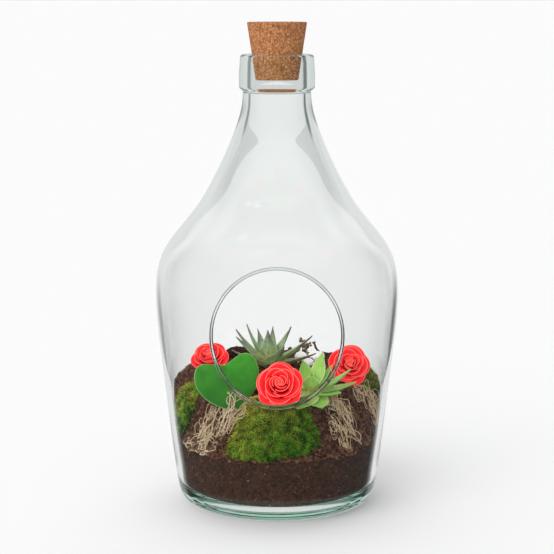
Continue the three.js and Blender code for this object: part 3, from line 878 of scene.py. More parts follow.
# ---------------------------------------------------------------- bottle and cork
@dataclass
class GlassBottle:
    """The blown bottle: a turned wall with a foot, a shoulder, a neck and a lip, and the ground hole."""

    height: float = 360.0
    foot_radius: float = 66.0
    foot_rise: float = 1.4
    heel: float = 13.6
    floor: float = 8.0
    floor_radius: float = 63.5
    floor_heel: float = 14.0
    lip_round: float = 2.8
    mouth_radius: float = 20.0
    mouth_round: float = 1.8
    mouth_depth: float = 5.0
    hole_height: float = 149.3
    hole_half_width: float = 51.3
    hole_half_height: float = 54.9
    hole_taper: float = 1.22
    hole_spread: tuple[float, float] = (51.0, 54.7)
    band_bottom: float = 90.0
    band_top: float = 209.0
    band_columns: int = 24
    band_rows: int = 61
    band_rings: int = 9
    wall_bottom: float = 16.0
    inner_bottom: float = 24.0
    wall_top: float = 329.0
    columns: int = 240
    outer: Sequence[tuple[float, float]] = (
        (79.5, 10), (82.7, 31), (87.2, 68), (91.6, 106), (95.3, 139), (97.1, 166), (96.2, 185),
        (91.2, 203), (80.2, 219.5), (64.5, 239), (49.7, 264), (37.9, 289), (31.2, 307), (27.9, 320),
        (26.9, 331),
    )
    inner: Sequence[tuple[float, float]] = (
        (77.6, 22), (80.7, 43), (83.8, 68), (88.2, 106), (91.8, 139), (93.6, 166), (92.6, 184),
        (87.3, 202), (75.8, 218), (59, 238.5), (43.6, 263), (30.8, 288), (24.2, 304), (21.6, 318),
        (21.2, 330),
    )
    under_lip: Sequence[tuple[float, float]] = ((26.9, 331), (28.2, 332.2), (29.6, 333.4), (30.1, 335.5))
    lip_face: Sequence[tuple[float, float]] = ((30.1, 336), (30.1, 342), (29.6, 352), (29.2, 357))

    def __post_init__(self) -> None:
        """Works out both walls as dense curves."""
        self.outer_curve = spline(self.outer, 600)
        self.corner = (self.floor_radius, self.floor + self.floor_heel)
        corner = arc(self.corner, self.floor_heel, -90, -8, 10)
        self.inner_curve = np.concatenate([corner, spline(self.inner, 600)])

    def outer_radius(self, z: np.ndarray) -> np.ndarray:
        """Radius of the outer wall at a height."""
        return np.interp(z, self.outer_curve[:, 1], self.outer_curve[:, 0])

    def inner_radius(self, z: np.ndarray) -> np.ndarray:
        """Radius of the inner wall at a height."""
        return np.interp(z, self.inner_curve[:, 1], self.inner_curve[:, 0])

    def drawn_in(
        self, x: np.ndarray, y: np.ndarray, z: np.ndarray, gap: float
    ) -> tuple[np.ndarray, np.ndarray]:
        """Level places moved towards the axis where, at height z, the inner wall is nearer than the gap.

        Args:
            x: Left or right of the axis.
            y: In front of the axis or behind it.
            z: Height.
            gap: The least distance from the inner wall.

        Returns:
            The new x and y.
        """
        share = np.minimum(1, (self.inner_radius(z) - gap) / np.maximum(np.hypot(x, y), 1e-6))
        return x * share, y * share

    def kept_inside(self, shape: Surface, gap: float) -> Surface:
        """The same surface with every point drawn in to keep the gap from the inner wall.

        Args:
            shape: A surface inside the bottle.
            gap: The least distance from the inner wall.

        Returns:
            That surface.
        """
        x, y, z = shape.points.T
        shape.points = np.stack([*self.drawn_in(x, y, z, gap), z], axis=-1)
        return shape

    def outline(self) -> tuple[np.ndarray, int, int, int, int]:
        """The wall's section from the foot's middle out, over the lip and down inside to the floor's middle.

        Returns:
            Points (radius, height), then the rows where the hole's band starts and ends, outside and inside.
        """
        low = np.linspace(self.wall_bottom, self.band_bottom, 26)[:-1]
        band = np.linspace(self.band_bottom, self.band_top, self.band_rows)
        high = np.linspace(self.band_top, self.wall_top, 60)[1:]
        outside = np.concatenate([low, band, high])
        inside = np.concatenate([np.linspace(self.inner_bottom, self.band_bottom, 22)[:-1], band, high])
        foot_edge = self.foot_radius - 4
        foot = np.linspace(2, foot_edge, 8)
        lip_edge = (self.lip_face[-1][0] - self.lip_round, self.height - self.lip_round)
        mouth_edge = (self.mouth_radius + self.mouth_round, self.height - self.mouth_round)
        lip = [
            spline(self.under_lip, 8),
            spline(self.lip_face, 8),
            arc(lip_edge, self.lip_round, 10, 90, 6),
            arc(mouth_edge, self.mouth_round, 90, 180, 6),
            np.array([[self.mouth_radius + 1, mouth_edge[1] - self.mouth_depth]]),
        ]
        section = [
            np.stack([foot, self.foot_rise * (1 - (foot / foot_edge) ** 2)], axis=-1),
            arc((self.foot_radius, self.heel), self.heel, -90, -12, 9),
            np.stack([self.outer_radius(outside), outside], axis=-1),
            *lip,
            np.stack([self.inner_radius(inside), inside], axis=-1)[::-1],
            arc(self.corner, self.floor_heel, -8, -90, 8),
            np.stack([np.linspace(52, 2, 6), np.full(6, self.floor)], axis=-1),
        ]
        first = len(section[0]) + len(section[1]) + len(low)
        second = sum(len(part) for part in section[: 3 + len(lip)]) + len(high)
        span = len(band) - 1
        return np.concatenate(section), first, first + span, second, second + span

    def rim_rings(self) -> list[tuple[float, float, float]]:
        """The hole's ground edge as ellipses: half width, half height and share of the way through the wall.

        Two steep arrises with a flat land between them, each ellipse inset from the outermost.

        Returns:
            The ellipses from the outer wall to the inner one.
        """
        steps = [
            (0.0, 0.0), (0.1, 0.06), (0.3, 0.32), (0.5, 0.43), (0.75, 0.48), (1.25, 0.53), (1.75, 0.58),
            (1.98, 0.64), (2.2, 0.8), (2.36, 0.94), (2.45, 1.0),
        ]
        return [
            (self.hole_half_width - inset, self.hole_half_height - self.hole_taper * inset, share)
            for inset, share in steps
        ]

    def patch(self, edge_out: np.ndarray, edge_in: np.ndarray) -> np.ndarray:
        """Rings of points from the outer band's edge over the hole's rim to the inner band's edge.

        On either wall a point is found by its x and z: y = -sqrt(radius(z)^2 - x^2).

        Args:
            edge_out: The removed block's border on the outer wall.
            edge_in: The same border on the inner wall.

        Returns:
            Points as (rings, points round, 3).
        """

        def on_wall(x: np.ndarray, z: np.ndarray, share: float) -> np.ndarray:
            """Points at that share of the way from the outer wall to the inner one."""
            radius = self.outer_radius(z) * (1 - share) + self.inner_radius(z) * share
            return np.stack([x, -np.sqrt(np.maximum(radius**2 - x**2, 0)), z], axis=-1)

        wide, tall = self.hole_spread
        angle = np.arctan2((edge_out[:, 2] - self.hole_height) / tall, edge_out[:, 0] / wide)
        rims = [
            on_wall(a * np.cos(angle), self.hole_height + b * np.sin(angle), share)
            for a, b, share in self.rim_rings()
        ]

        def between(start: np.ndarray, end: np.ndarray, share: float) -> list[np.ndarray]:
            """Rings on one wall that pass from one border to another.

            Args:
                start: The border that they leave.
                end: The border that they reach.
                share: Which wall.

            Returns:
                The rings.
            """
            steps = smoothstep(np.linspace(0, 1, self.band_rings))[1:-1]
            mixes = [start * (1 - t) + end * t for t in steps]
            return [on_wall(mix[:, 0], mix[:, 2], share) for mix in mixes]

        return np.stack([*between(edge_out, rims[0], 0.0), *rims, *between(rims[-1], edge_in, 1.0)])

    def surface(self) -> Surface:
        """Turns the section round Z, takes a block out of each wall and joins the two blocks' borders.

        Returns:
            The closed bottle.
        """
        section, a0, a1, b0, b1 = self.outline()
        count, half = self.columns, self.band_columns
        whole = skin(turned(section, count, -np.pi / 2))
        quads = whole.polygons[0]
        row, column = np.divmod(np.arange(len(quads)), count)
        in_columns = (column < half) | (column >= count - half)
        outer_block = in_columns & (row >= a0) & (row < a1)
        inner_block = in_columns & (row >= b0) & (row < b1)
        whole.polygons[0] = quads[~(outer_block | inner_block)]
        span = np.arange(-half, half + 1) % count
        up_out, down_in = np.arange(a0, a1 + 1), np.arange(b1, b0 - 1, -1)

        def border(levels: np.ndarray) -> np.ndarray:
            """The points round a block: along its first row, up one side, back along its last, down.

            Args:
                levels: The block's rows, from its first to its last.

            Returns:
                The points' numbers.
            """
            right, left = levels * count + half, levels * count + (count - half)
            bottom, top = levels[0] * count + span, levels[-1] * count + span
            return np.concatenate([bottom[:-1], right[:-1], top[::-1][:-1], left[::-1][:-1]])

        outer_edge, inner_edge = border(up_out), border(down_in)
        rings = self.patch(whole.points[outer_edge], whole.points[inner_edge])
        start, around = len(whole.points), rings.shape[1]
        inside = start + np.arange(rings.shape[0] * around).reshape(rings.shape[0], around)
        mesh = np.concatenate([outer_edge[None], inside, inner_edge[None]])
        after = np.roll(mesh, -1, axis=1)
        patch = np.stack([mesh[:-1], after[:-1], after[1:], mesh[1:]], axis=-1).reshape(-1, 4)
        made = Surface(np.concatenate([whole.points, rings.reshape(-1, 3)]), [*whole.polygons, patch])
        return made.trimmed().outward()


@dataclass
class CorkStopper:
    """The tapered stopper, wedged in the mouth."""

    bottom: float = 340.1
    top: float = 385.0
    bottom_radius: float = 17.0
    top_radius: float = 23.6
    chamfer: float = 0.8
    granule: float = 1.9
    hollow: float = 5.0
    pit_depth: float = 0.55
    columns: int = 160

    def surface(self) -> Surface:
        """Turns the taper round Z and presses it in and out by fine noise, as granules are.

        Returns:
            The closed stopper.
        """
        side = np.linspace(0, 1, 70)
        radius = self.bottom_radius + (self.top_radius - self.bottom_radius) * side
        height = self.bottom + self.chamfer + (self.top - self.bottom - 2 * self.chamfer) * side
        flat = np.linspace(0.1, 1, 14)
        rows = np.concatenate([
            np.stack([flat * (self.bottom_radius - self.chamfer), np.full(14, self.bottom)], -1),
            np.stack([radius, height], -1),
            np.stack([flat[::-1] * (self.top_radius - self.chamfer), np.full(14, self.top)], -1),
        ])
        made = skin(turned(rows, self.columns))
        granules = np.maximum(ripple(made.points, self.granule, 4) - 0.35, 0)
        hollows = 0.3 * np.maximum(ripple(made.points, self.hollow, 6), 0)
        outward = unit(made.points - np.array([0, 0, (self.bottom + self.top) / 2]))
        made.points = made.points - outward * (granules + hollows)[:, None] * self.pit_depth
        return made


# ---------------------------------------------------------------- soil
@dataclass
class PottingSoil:
    """The bank of soil: low along the front glass, then steep, then a plateau that climbs to the back."""

    bottle: GlassBottle
    low: float = 50.0
    rise: float = 42.0
    back_rise: float = 11.0
    bank_front: float = -80.0
    bank_depth: float = 44.0
    back_front: float = -20.0
    back_depth: float = 90.0
    wall_shift: float = 50.0
    half_width: float = 83.0
    wall_gap: float = 0.5
    coarse: float = 0.9
    fine: float = 0.6
    crumbs: int = 8200
    fibres: int = 1500
    fibre_radius: float = 0.2
    fibre_length: tuple[float, float] = (4.0, 13.0)
    edge_gap: float = 1.6
    crumb_size: tuple[float, float] = (0.45, 2.0)
    clods: Sequence[tuple[float, float, int]] = ((1.1, 13, 31), (0.7, 5, 32), (0.45, 2.2, 33))

    def height(self, x: np.ndarray, y: np.ndarray) -> np.ndarray:
        """Height of the smooth surface: two eased climbs front to back, and two gentle waves.

        Args:
            x: Left or right of the axis.
            y: In front of the axis or behind it.

        Returns:
            The height at each place.
        """
        start = self.bank_front + self.wall_shift * (x / self.half_width) ** 2
        return (
            self.low
            + self.rise * smoothstep((y - start) / self.bank_depth)
            + self.back_rise * smoothstep((y - self.back_front) / self.back_depth)
            + self.coarse * np.sin(x * 0.31 + 1.3) * np.cos(y * 0.27)
            + self.fine * np.sin(x * 0.13 - y * 0.47)
        )

    def level(self, x: float, y: float) -> float:
        """Height of the smooth surface at one place."""
        return float(self.height(np.array(x), np.array(y)))

    def crumbled(self, x: np.ndarray, y: np.ndarray) -> np.ndarray:
        """Height with clods and crumbs: noise of three sizes on the smooth surface.

        Args:
            x: Left or right of the axis.
            y: In front of the axis or behind it.

        Returns:
            The height at each place.
        """
        at = np.stack([x, y], axis=-1)
        clods = sum(height * ripple(at, width, seed) for height, width, seed in self.clods)
        return self.height(x, y) + clods

    def contact(self, turn: np.ndarray) -> np.ndarray:
        """Height where the soil meets the glass, found by stepping between radius and height.

        Args:
            turn: The angle round the axis.

        Returns:
            The height at each angle.
        """
        z = np.full_like(turn, 80.0)
        for _ in range(12):
            r = self.bottle.inner_radius(z) - self.wall_gap
            z = self.height(r * np.cos(turn), r * np.sin(turn))
        return z

    def surface(self, columns: int = 300, wall_rows: int = 46, top_rows: int = 96) -> Surface:
        """The closed bank: floor, a wall that follows the glass, and the crumbled top.

        Args:
            columns: Steps round the axis.
            wall_rows: Rings along the glass.
            top_rows: Rings over the top.

        Returns:
            The closed bank.
        """
        turn = circle(columns)
        contact = self.contact(turn)
        floor = self.bottle.floor + self.wall_gap
        share = np.linspace(0, 1, wall_rows)[:, None] ** 1.2
        z = floor + (contact[None] - floor) * share
        r = self.bottle.inner_radius(z) - self.wall_gap
        r[0] = self.bottle.floor_radius - 1
        rim = np.stack([r * np.cos(turn), r * np.sin(turn), z], axis=-1)
        grain = np.maximum(ripple(rim, 2.4, 35) + 0.6 * ripple(rim, 6, 36), 0) * 0.5
        r = r - grain * (share > 0.02)
        wall = np.stack([r * np.cos(turn), r * np.sin(turn), z], axis=-1)
        inward = 1 - np.linspace(0, 1, top_rows)[1:, None] * 0.99
        tr = r[-1][None] * inward
        x, y = tr * np.cos(turn), tr * np.sin(turn)
        fade = smoothstep((1 - inward) / 0.05)
        top = np.stack([x, y, self.height(x, y) * (1 - fade) + self.crumbled(x, y) * fade], axis=-1)
        return skin(np.concatenate([wall, top]))

    def strewn(self, rng: np.random.Generator, count: int) -> np.ndarray:
        """Random points on the crumbled top, inside the glass.

        Args:
            rng: The source of chance.
            count: How many points.

        Returns:
            The points, (count, 3).
        """
        turn = rng.uniform(0, 2 * np.pi, count)
        reach = self.bottle.inner_radius(self.contact(turn)) - self.edge_gap
        r = reach * np.sqrt(rng.uniform(0, 1, count))
        x, y = r * np.cos(turn), r * np.sin(turn)
        return np.stack([x, y, self.crumbled(x, y)], axis=-1)

    def crumb_surface(self) -> Surface:
        """Loose crumbs: small uneven lumps of few faces, half sunk in the top.

        Returns:
            All crumbs as one surface.
        """
        rng = np.random.default_rng(41)
        lump = skin(globe(5, 2))
        lump.points = lump.points * (1 + 0.25 * ripple(lump.points, 1.3, 5))[:, None]
        places = self.strewn(rng, self.crumbs)
        least, more = self.crumb_size
        size = least + more * rng.random(self.crumbs) ** 2.8
        stretch = size[:, None] * rng.uniform(0.6, 1.25, (self.crumbs, 3))
        frames = about(rng.normal(size=(self.crumbs, 3))) * stretch[:, None, :]
        places[:, 2] += size * 0.25
        return self.bottle.kept_inside(scatter(lump, places, frames), self.wall_gap)

    def fibre_surface(self) -> Surface:
        """Loose fibres of coconut husk: thin bowed threads that lie on the top.

        Returns:
            All fibres as one surface.
        """
        rng = np.random.default_rng(43)
        middle = self.strewn(rng, self.fibres)
        heading = rng.uniform(0, 2 * np.pi, self.fibres)
        length = rng.uniform(*self.fibre_length, self.fibres)
        s = np.linspace(-0.5, 0.5, 7)[None, :]
        bow = rng.uniform(-0.35, 0.35, self.fibres)[:, None]
        u, v = s * length[:, None], bow * length[:, None] * (1 - 4 * s * s)
        c, n = np.cos(heading)[:, None], np.sin(heading)[:, None]
        x, y = middle[:, :1] + u * c - v * n, middle[:, 1:2] + u * n + v * c
        x, y = self.bottle.drawn_in(x, y, self.contact(np.arctan2(y, x)), 1.5)
        lift = 0.3 + 1.6 * rng.random(self.fibres)[:, None] * (0.5 + s)
        return tubes(np.stack([x, y, self.crumbled(x, y) + lift], axis=-1), self.fibre_radius, 3)


# ---------------------------------------------------------------- moss
@dataclass
class MossCushion:
    """One cushion of moss: a domed oval body that follows the soil, covered with small starry stems."""

    name: str
    soil: PottingSoil
    x: float
    y: float
    half_length: float
    half_width: float
    turn: float
    height: float
    tuft: float
    seed: int
    stems: int
    olive_towards: tuple[float, float, float]
    olive: float
    pinch: float = 0.0
    slant: float = 0.0
    stem_length: float = 4.3
    needles: int = 6
    needle_radius: float = 0.095
    sunk: float = 3.0
    wall_gap: float = 2.2

    def place(self, rho: np.ndarray, angle: np.ndarray) -> tuple[np.ndarray, np.ndarray]:
        """Plan position from the share of the way out and the angle: an oval pulled towards a rectangle.

        Its outline waves a little, its front is pinched narrower and slants to one side, and it keeps inside
        the glass.

        Args:
            rho: The share of the way from the middle to the edge.
            angle: The angle round the middle.

        Returns:
            The x and the y.
        """
        wave = 1 + 0.08 * np.sin(angle * 3 + self.seed) + 0.05 * np.sin(angle * 5 - self.seed)
        wave = wave + 0.035 * np.sin(angle * 11 + 2 * self.seed)
        c, s = np.cos(angle), np.sin(angle)
        u = self.half_length * rho * wave * np.sign(c) * np.abs(c) ** 0.75
        v = self.half_width * rho * wave * np.sign(s) * np.abs(s) ** 0.75
        u = u * (1 - self.pinch * smoothstep(-v / (0.65 * self.half_width))) + self.slant * np.minimum(v, 0)
        a = math.radians(self.turn)
        x = self.x + u * math.cos(a) - v * math.sin(a)
        y = self.y + u * math.sin(a) + v * math.cos(a)
        return self.soil.bottle.drawn_in(x, y, self.soil.height(x, y) + 4, self.wall_gap)

    def top(self, rho: np.ndarray, angle: np.ndarray) -> np.ndarray:
        """Points of the cushion's top: the soil plus a dome, with tufts as lumps of noise.

        Args:
            rho: The share of the way from the middle to the edge.
            angle: The angle round the middle.

        Returns:
            The points.
        """
        x, y = self.place(rho, angle)
        dome = self.height * np.sqrt(1 - (0.985 * np.clip(rho, 0, 1)) ** 2)
        lumps = self.lumps(x, y) * (1.05 - np.minimum(rho, 1) ** 4)
        return np.stack([x, y, self.soil.height(x, y) + dome + lumps], axis=-1)

    def lumps(self, x: np.ndarray, y: np.ndarray) -> np.ndarray:
        """Height of the tufts, from noise of 10 mm and 5 mm."""
        at = np.stack([x, y], axis=-1)
        return self.tuft * (0.5 * ripple(at, 10, self.seed) + 0.45 * ripple(at, 5, self.seed + 1) + 0.3)

    def body(self) -> Surface:
        """The cushion's closed body, its foot sunk in the soil.

        Returns:
            The closed body.
        """
        angle = circle(120)
        rho = np.linspace(1, 0.03, 34)[:, None]
        top = self.top(rho, angle + 0 * rho)
        x, y = self.place(np.full_like(angle, 0.97), angle)
        foot = np.stack([x, y, self.soil.height(x, y) - self.sunk], axis=-1)[None]
        rows = np.concatenate([foot, top])
        # painted shade: the body takes the near-black foot colour that shows in the gaps between the stems
        low = np.zeros(rows.shape[:2])
        return skin(rows, {"height": low + 0.1, "hue": low + 0.4, "shade": low})

    def star(self, rng: np.random.Generator) -> Surface:
        """One stem head of unit length: slender four-faced needles that lean out from one foot, as a star.

        Args:
            rng: The source of chance.

        Returns:
            The stem head, with "height" from foot to tip.
        """
        n = self.needles
        around = np.arange(n) * 2.4
        lean = np.radians(np.linspace(4, 50, n))
        heads = [np.cos(around) * np.sin(lean), np.sin(around) * np.sin(lean), np.cos(lean)]
        tips = np.stack(heads, axis=-1)
        corner = circle(3)
        foot = (about(tips)[:, :, :2] @ np.stack([np.cos(corner), np.sin(corner)])).transpose(0, 2, 1)
        foot = foot * self.needle_radius + tips[:, None] * 0.2
        needle = np.concatenate([foot, tips[:, None] * rng.uniform(0.75, 1.05, (n, 1, 1))], axis=1)
        faces = np.array([[0, 2, 1], [0, 1, 3], [1, 2, 3], [2, 0, 3]])
        height = np.tile([0.35, 0.35, 0.35, 1.0], n)
        return Surface(needle.reshape(-1, 3), repeated([faces], n, 4), {"height": height})

    def stems_surface(self) -> Surface:
        """Stems over the whole top, square to it and leaning a little, painted lighter on the crests of the
        tufts.

        Returns:
            All stems as one surface.
        """
        rng = np.random.default_rng(self.seed)
        rho = np.sqrt(rng.uniform(0, 1.03, self.stems))
        rho = np.clip(rho + rng.normal(scale=0.03, size=self.stems), 0, 1.12)
        angle = rng.uniform(0, 2 * np.pi, self.stems)
        feet = self.top(rho, angle)
        x, y = feet[:, 0], feet[:, 1]
        step = 0.6
        gx = (self.soil.height(x + step, y) - self.soil.height(x - step, y)) / (2 * step)
        gy = (self.soil.height(x, y + step) - self.soil.height(x, y - step)) / (2 * step)
        outward = unit(np.stack([x - self.x, y - self.y, 0 * x], axis=-1))
        outward = outward * np.clip(rho, 0, 1)[:, None] ** 3 * 0.9
        normal = unit(np.stack([-gx, -gy, np.ones_like(x)], axis=-1) + outward)
        axis = unit(normal + rng.normal(scale=0.3, size=feet.shape))
        size = self.stem_length * rng.uniform(0.55, 1.35, self.stems)
        frames = about(axis) @ spun(rng.uniform(0, 2 * np.pi, self.stems)) * size[:, None, None]
        spread = (feet - np.array([self.x, self.y, 0])) @ np.array(self.olive_towards)
        spread = (spread - spread.mean()) / spread.std()
        patch = 0.22 * ripple(feet, 12, self.seed + 5) + rng.normal(scale=0.12, size=len(x))
        hue = np.clip(self.olive + 0.22 * spread + patch, 0, 1)
        # painted light: the tufts' crests lighter and their hollows darker, with a random tone on top
        painted_crest_light = self.lumps(x, y) / self.tuft - 0.3
        shade = np.clip(0.42 + 0.65 * painted_crest_light + rng.normal(scale=0.6, size=len(x)), 0, 1)
        stems = scatter(self.star(rng), feet - axis * 0.3, frames, hue=hue, shade=shade)
        return self.soil.bottle.kept_inside(stems, self.soil.wall_gap)

    def build(self, finish: MossFinish) -> None:
        """Puts the body and the stems in place."""
        material = finish.material()
        put(self.name + "_body", self.body(), material, [self.name])
        put(self.name + "_stems", self.stems_surface(), material, [self.name])


# ---------------------------------------------------------------- leaves
@dataclass
class Rosette:
    """Fleshy leaves round a short neck. A leaf is [azimuth, rise, length, width]."""

    name: str
    centre: tuple[float, float, float]
    ground: float
    neck_radius: float
    neck_depth: float
    thickness: float
    bow: float
    hollow: float
    keel: float
    outline: Profile
    leaves: Sequence[tuple[float, float, float, float]]
    rows: int = 44
    around: int = 30

    def leaf(self, azimuth: float, rise: float, length: float, width: float) -> Surface:
        """One blade along a bowed midrib, hollow above and keeled below.

        Midrib(t) = centre + along x mix(neck, length, t) + up x bow x length x (t^2 - 0.55 t). Its section at
        t has half width w(t) and, at a share a across, runs from 0.35 - (0.05 + hollow)(1 - a^2)^1.3 above to
        0.35 - 1.1 (1 - |a|^keel) below, times its thickness.

        Args:
            azimuth: Its direction round Z, in degrees.
            rise: Its angle above level, in degrees.
            length: From the heart to the tip.
            width: At its widest.

        Returns:
            The closed blade.
        """
        t = (1 - (1 - np.linspace(0.0, 0.992, self.rows)) ** 1.25)[:, None]
        phi = circle(self.around)[None, :]
        a = np.sign(np.cos(phi)) * np.abs(np.cos(phi)) ** 0.9
        above = 0.35 - (0.05 + self.hollow) * (1 - a * a) ** 1.3
        below = 0.35 - 1.1 * (1 - np.abs(a) ** self.keel)
        lift = np.where(np.sin(phi) > 0, above, below)
        along, side = direction(azimuth, rise), direction(azimuth + 90, 0)
        up = np.cross(along, side)
        half = width / 2 * self.outline(t)
        thick = self.thickness * (0.55 + 0.45 * self.outline(t)) * (1 - 0.6 * t * t)
        reach = self.neck_radius * 0.5 * (1 - t) + length * t
        rise_by = self.bow * length * (t * t - 0.55 * t)
        wobble = 0.35 * np.sin(7 * t + azimuth) * t
        points = (
            np.array(self.centre)
            + reach[..., None] * along
            + (rise_by + lift * thick)[..., None] * up
            + (a * half + wobble)[..., None] * side
        )
        zero = 0 * a * t
        return skin(points, {"along": t + zero, "across": np.abs(a) + zero})

    def neck(self) -> Surface:
        """The short stem from the soil to the heart.

        Returns:
            The closed stem.
        """
        x, y, z = self.centre
        height = np.linspace(self.ground - self.neck_depth, z + 1, 14)
        radius = self.neck_radius * (1 + 0.08 * np.sin(height * 2.1))
        points = turned(np.stack([radius, height], axis=-1), 20) + np.array([x, y, 0])
        zero = np.zeros(points.shape[:2])
        return skin(points, {"along": zero, "across": zero})

    def build(self, finish: LeafFinish, slot: str) -> None:
        """Puts all leaves and the neck in place as one piece."""
        blades = [self.leaf(*numbers) for numbers in self.leaves]
        put(self.name + "_leaves", joined([*blades, self.neck()]), finish.material(), [self.name])


@dataclass
class HeartLeaf:
    """One thick heart-shaped leaf, lobes up, leaning back with its point in the moss."""

    tip: tuple[float, float, float]
    ground: float
    width: float = 51.0
    height: float = 41.5
    thickness: float = 3.2
    lean: float = 72.0
    roll: float = 15.0
    stalk_radius: float = 1.6
    stalk_depth: float = 9.0

    def frame(self) -> np.ndarray:
        """The leaf's turn: rolled in its own plane, then leant back from lying flat.

        Returns:
            The turn as a matrix.
        """
        a, b = math.radians(self.lean), math.radians(self.roll)
        lean = np.array([[1, 0, 0], [0, math.cos(a), -math.sin(a)], [0, math.sin(a), math.cos(a)]])
        roll = np.array([[math.cos(b), -math.sin(b), 0], [math.sin(b), math.cos(b), 0], [0, 0, 1]])
        return lean @ roll

    def surface(self) -> Surface:
        """The blade: both faces run from the middle to a heart curve of cosines and meet in a round rim.

        Edge(a) = (half width x sin^1.35 a, height x (0.593 + 0.5 cos a - 0.126 cos 2a - 0.056 cos 3a
        - 0.022 cos 4a)). A face lies on a shallow cup, half the thickness off it, less towards the edge.

        Returns:
            The closed blade.
        """
        a = circle(200)[None, :]
        wave = 0.5 * np.cos(a) - 0.126 * np.cos(2 * a) - 0.056 * np.cos(3 * a) - 0.022 * np.cos(4 * a)
        ex = self.width / 2 * np.sign(np.sin(a)) * np.abs(np.sin(a)) ** 1.35
        ey = self.height * (wave + 0.593)
        middle = self.height * 0.52
        share = np.concatenate([np.linspace(0.03, 0.9, 16)[:, None], np.linspace(0.915, 1, 9)[:, None]])
        share = np.concatenate([share, share[::-1][1:]])
        side = np.concatenate([-np.ones(25), np.ones(24)])[:, None]
        x, y = ex * share, middle + (ey - middle) * share
        cup = 0.0035 * (x * x + (y - middle) ** 2)
        body = np.sqrt(np.maximum(1 - share**9, 0))
        crease = 0.5 * np.exp(-((x / 2.2) ** 2)) * smoothstep((y - 4) / 12)
        z = cup + side * self.thickness / 2 * body - crease * (side > 0) * smoothstep((1 - share) * 4)
        points = np.stack([x, y, z], axis=-1) @ self.frame().T + np.array(self.tip)
        zero = 0 * x
        return skin(points, {"along": y / self.height + zero, "across": share + zero})

    def stalk(self) -> Surface:
        """The short stalk from the blade's point into the soil.

        Returns:
            The closed stalk.
        """
        top = np.array([0, 6, 0.5]) @ self.frame().T + np.array(self.tip)
        foot = np.array([self.tip[0], self.tip[1], self.ground - self.stalk_depth])
        path = foot + (top - foot) * np.linspace(0, 1, 10)[:, None]
        made = tubes(path[None], self.stalk_radius, 12)
        made.values = {"along": made.values["along"] * 0, "across": made.values["along"] * 0}
        return made

    def build(self, finish: LeafFinish) -> None:
        """Puts the leaf and its stalk in place."""
        shape = joined([self.surface(), self.stalk()])
        put("heart_leaf_blade", shape, finish.material(), ["heart_leaf"])


# ---------------------------------------------------------------- roses
@dataclass(frozen=True)
class PetalLayer:
    """One ring of petals, in a bloom of unit radius: where a petal starts and where its edge lies."""

    count: int
    span: float
    root: tuple[float, float]
    edge: tuple[float, float]
    belly: float
    curl: float


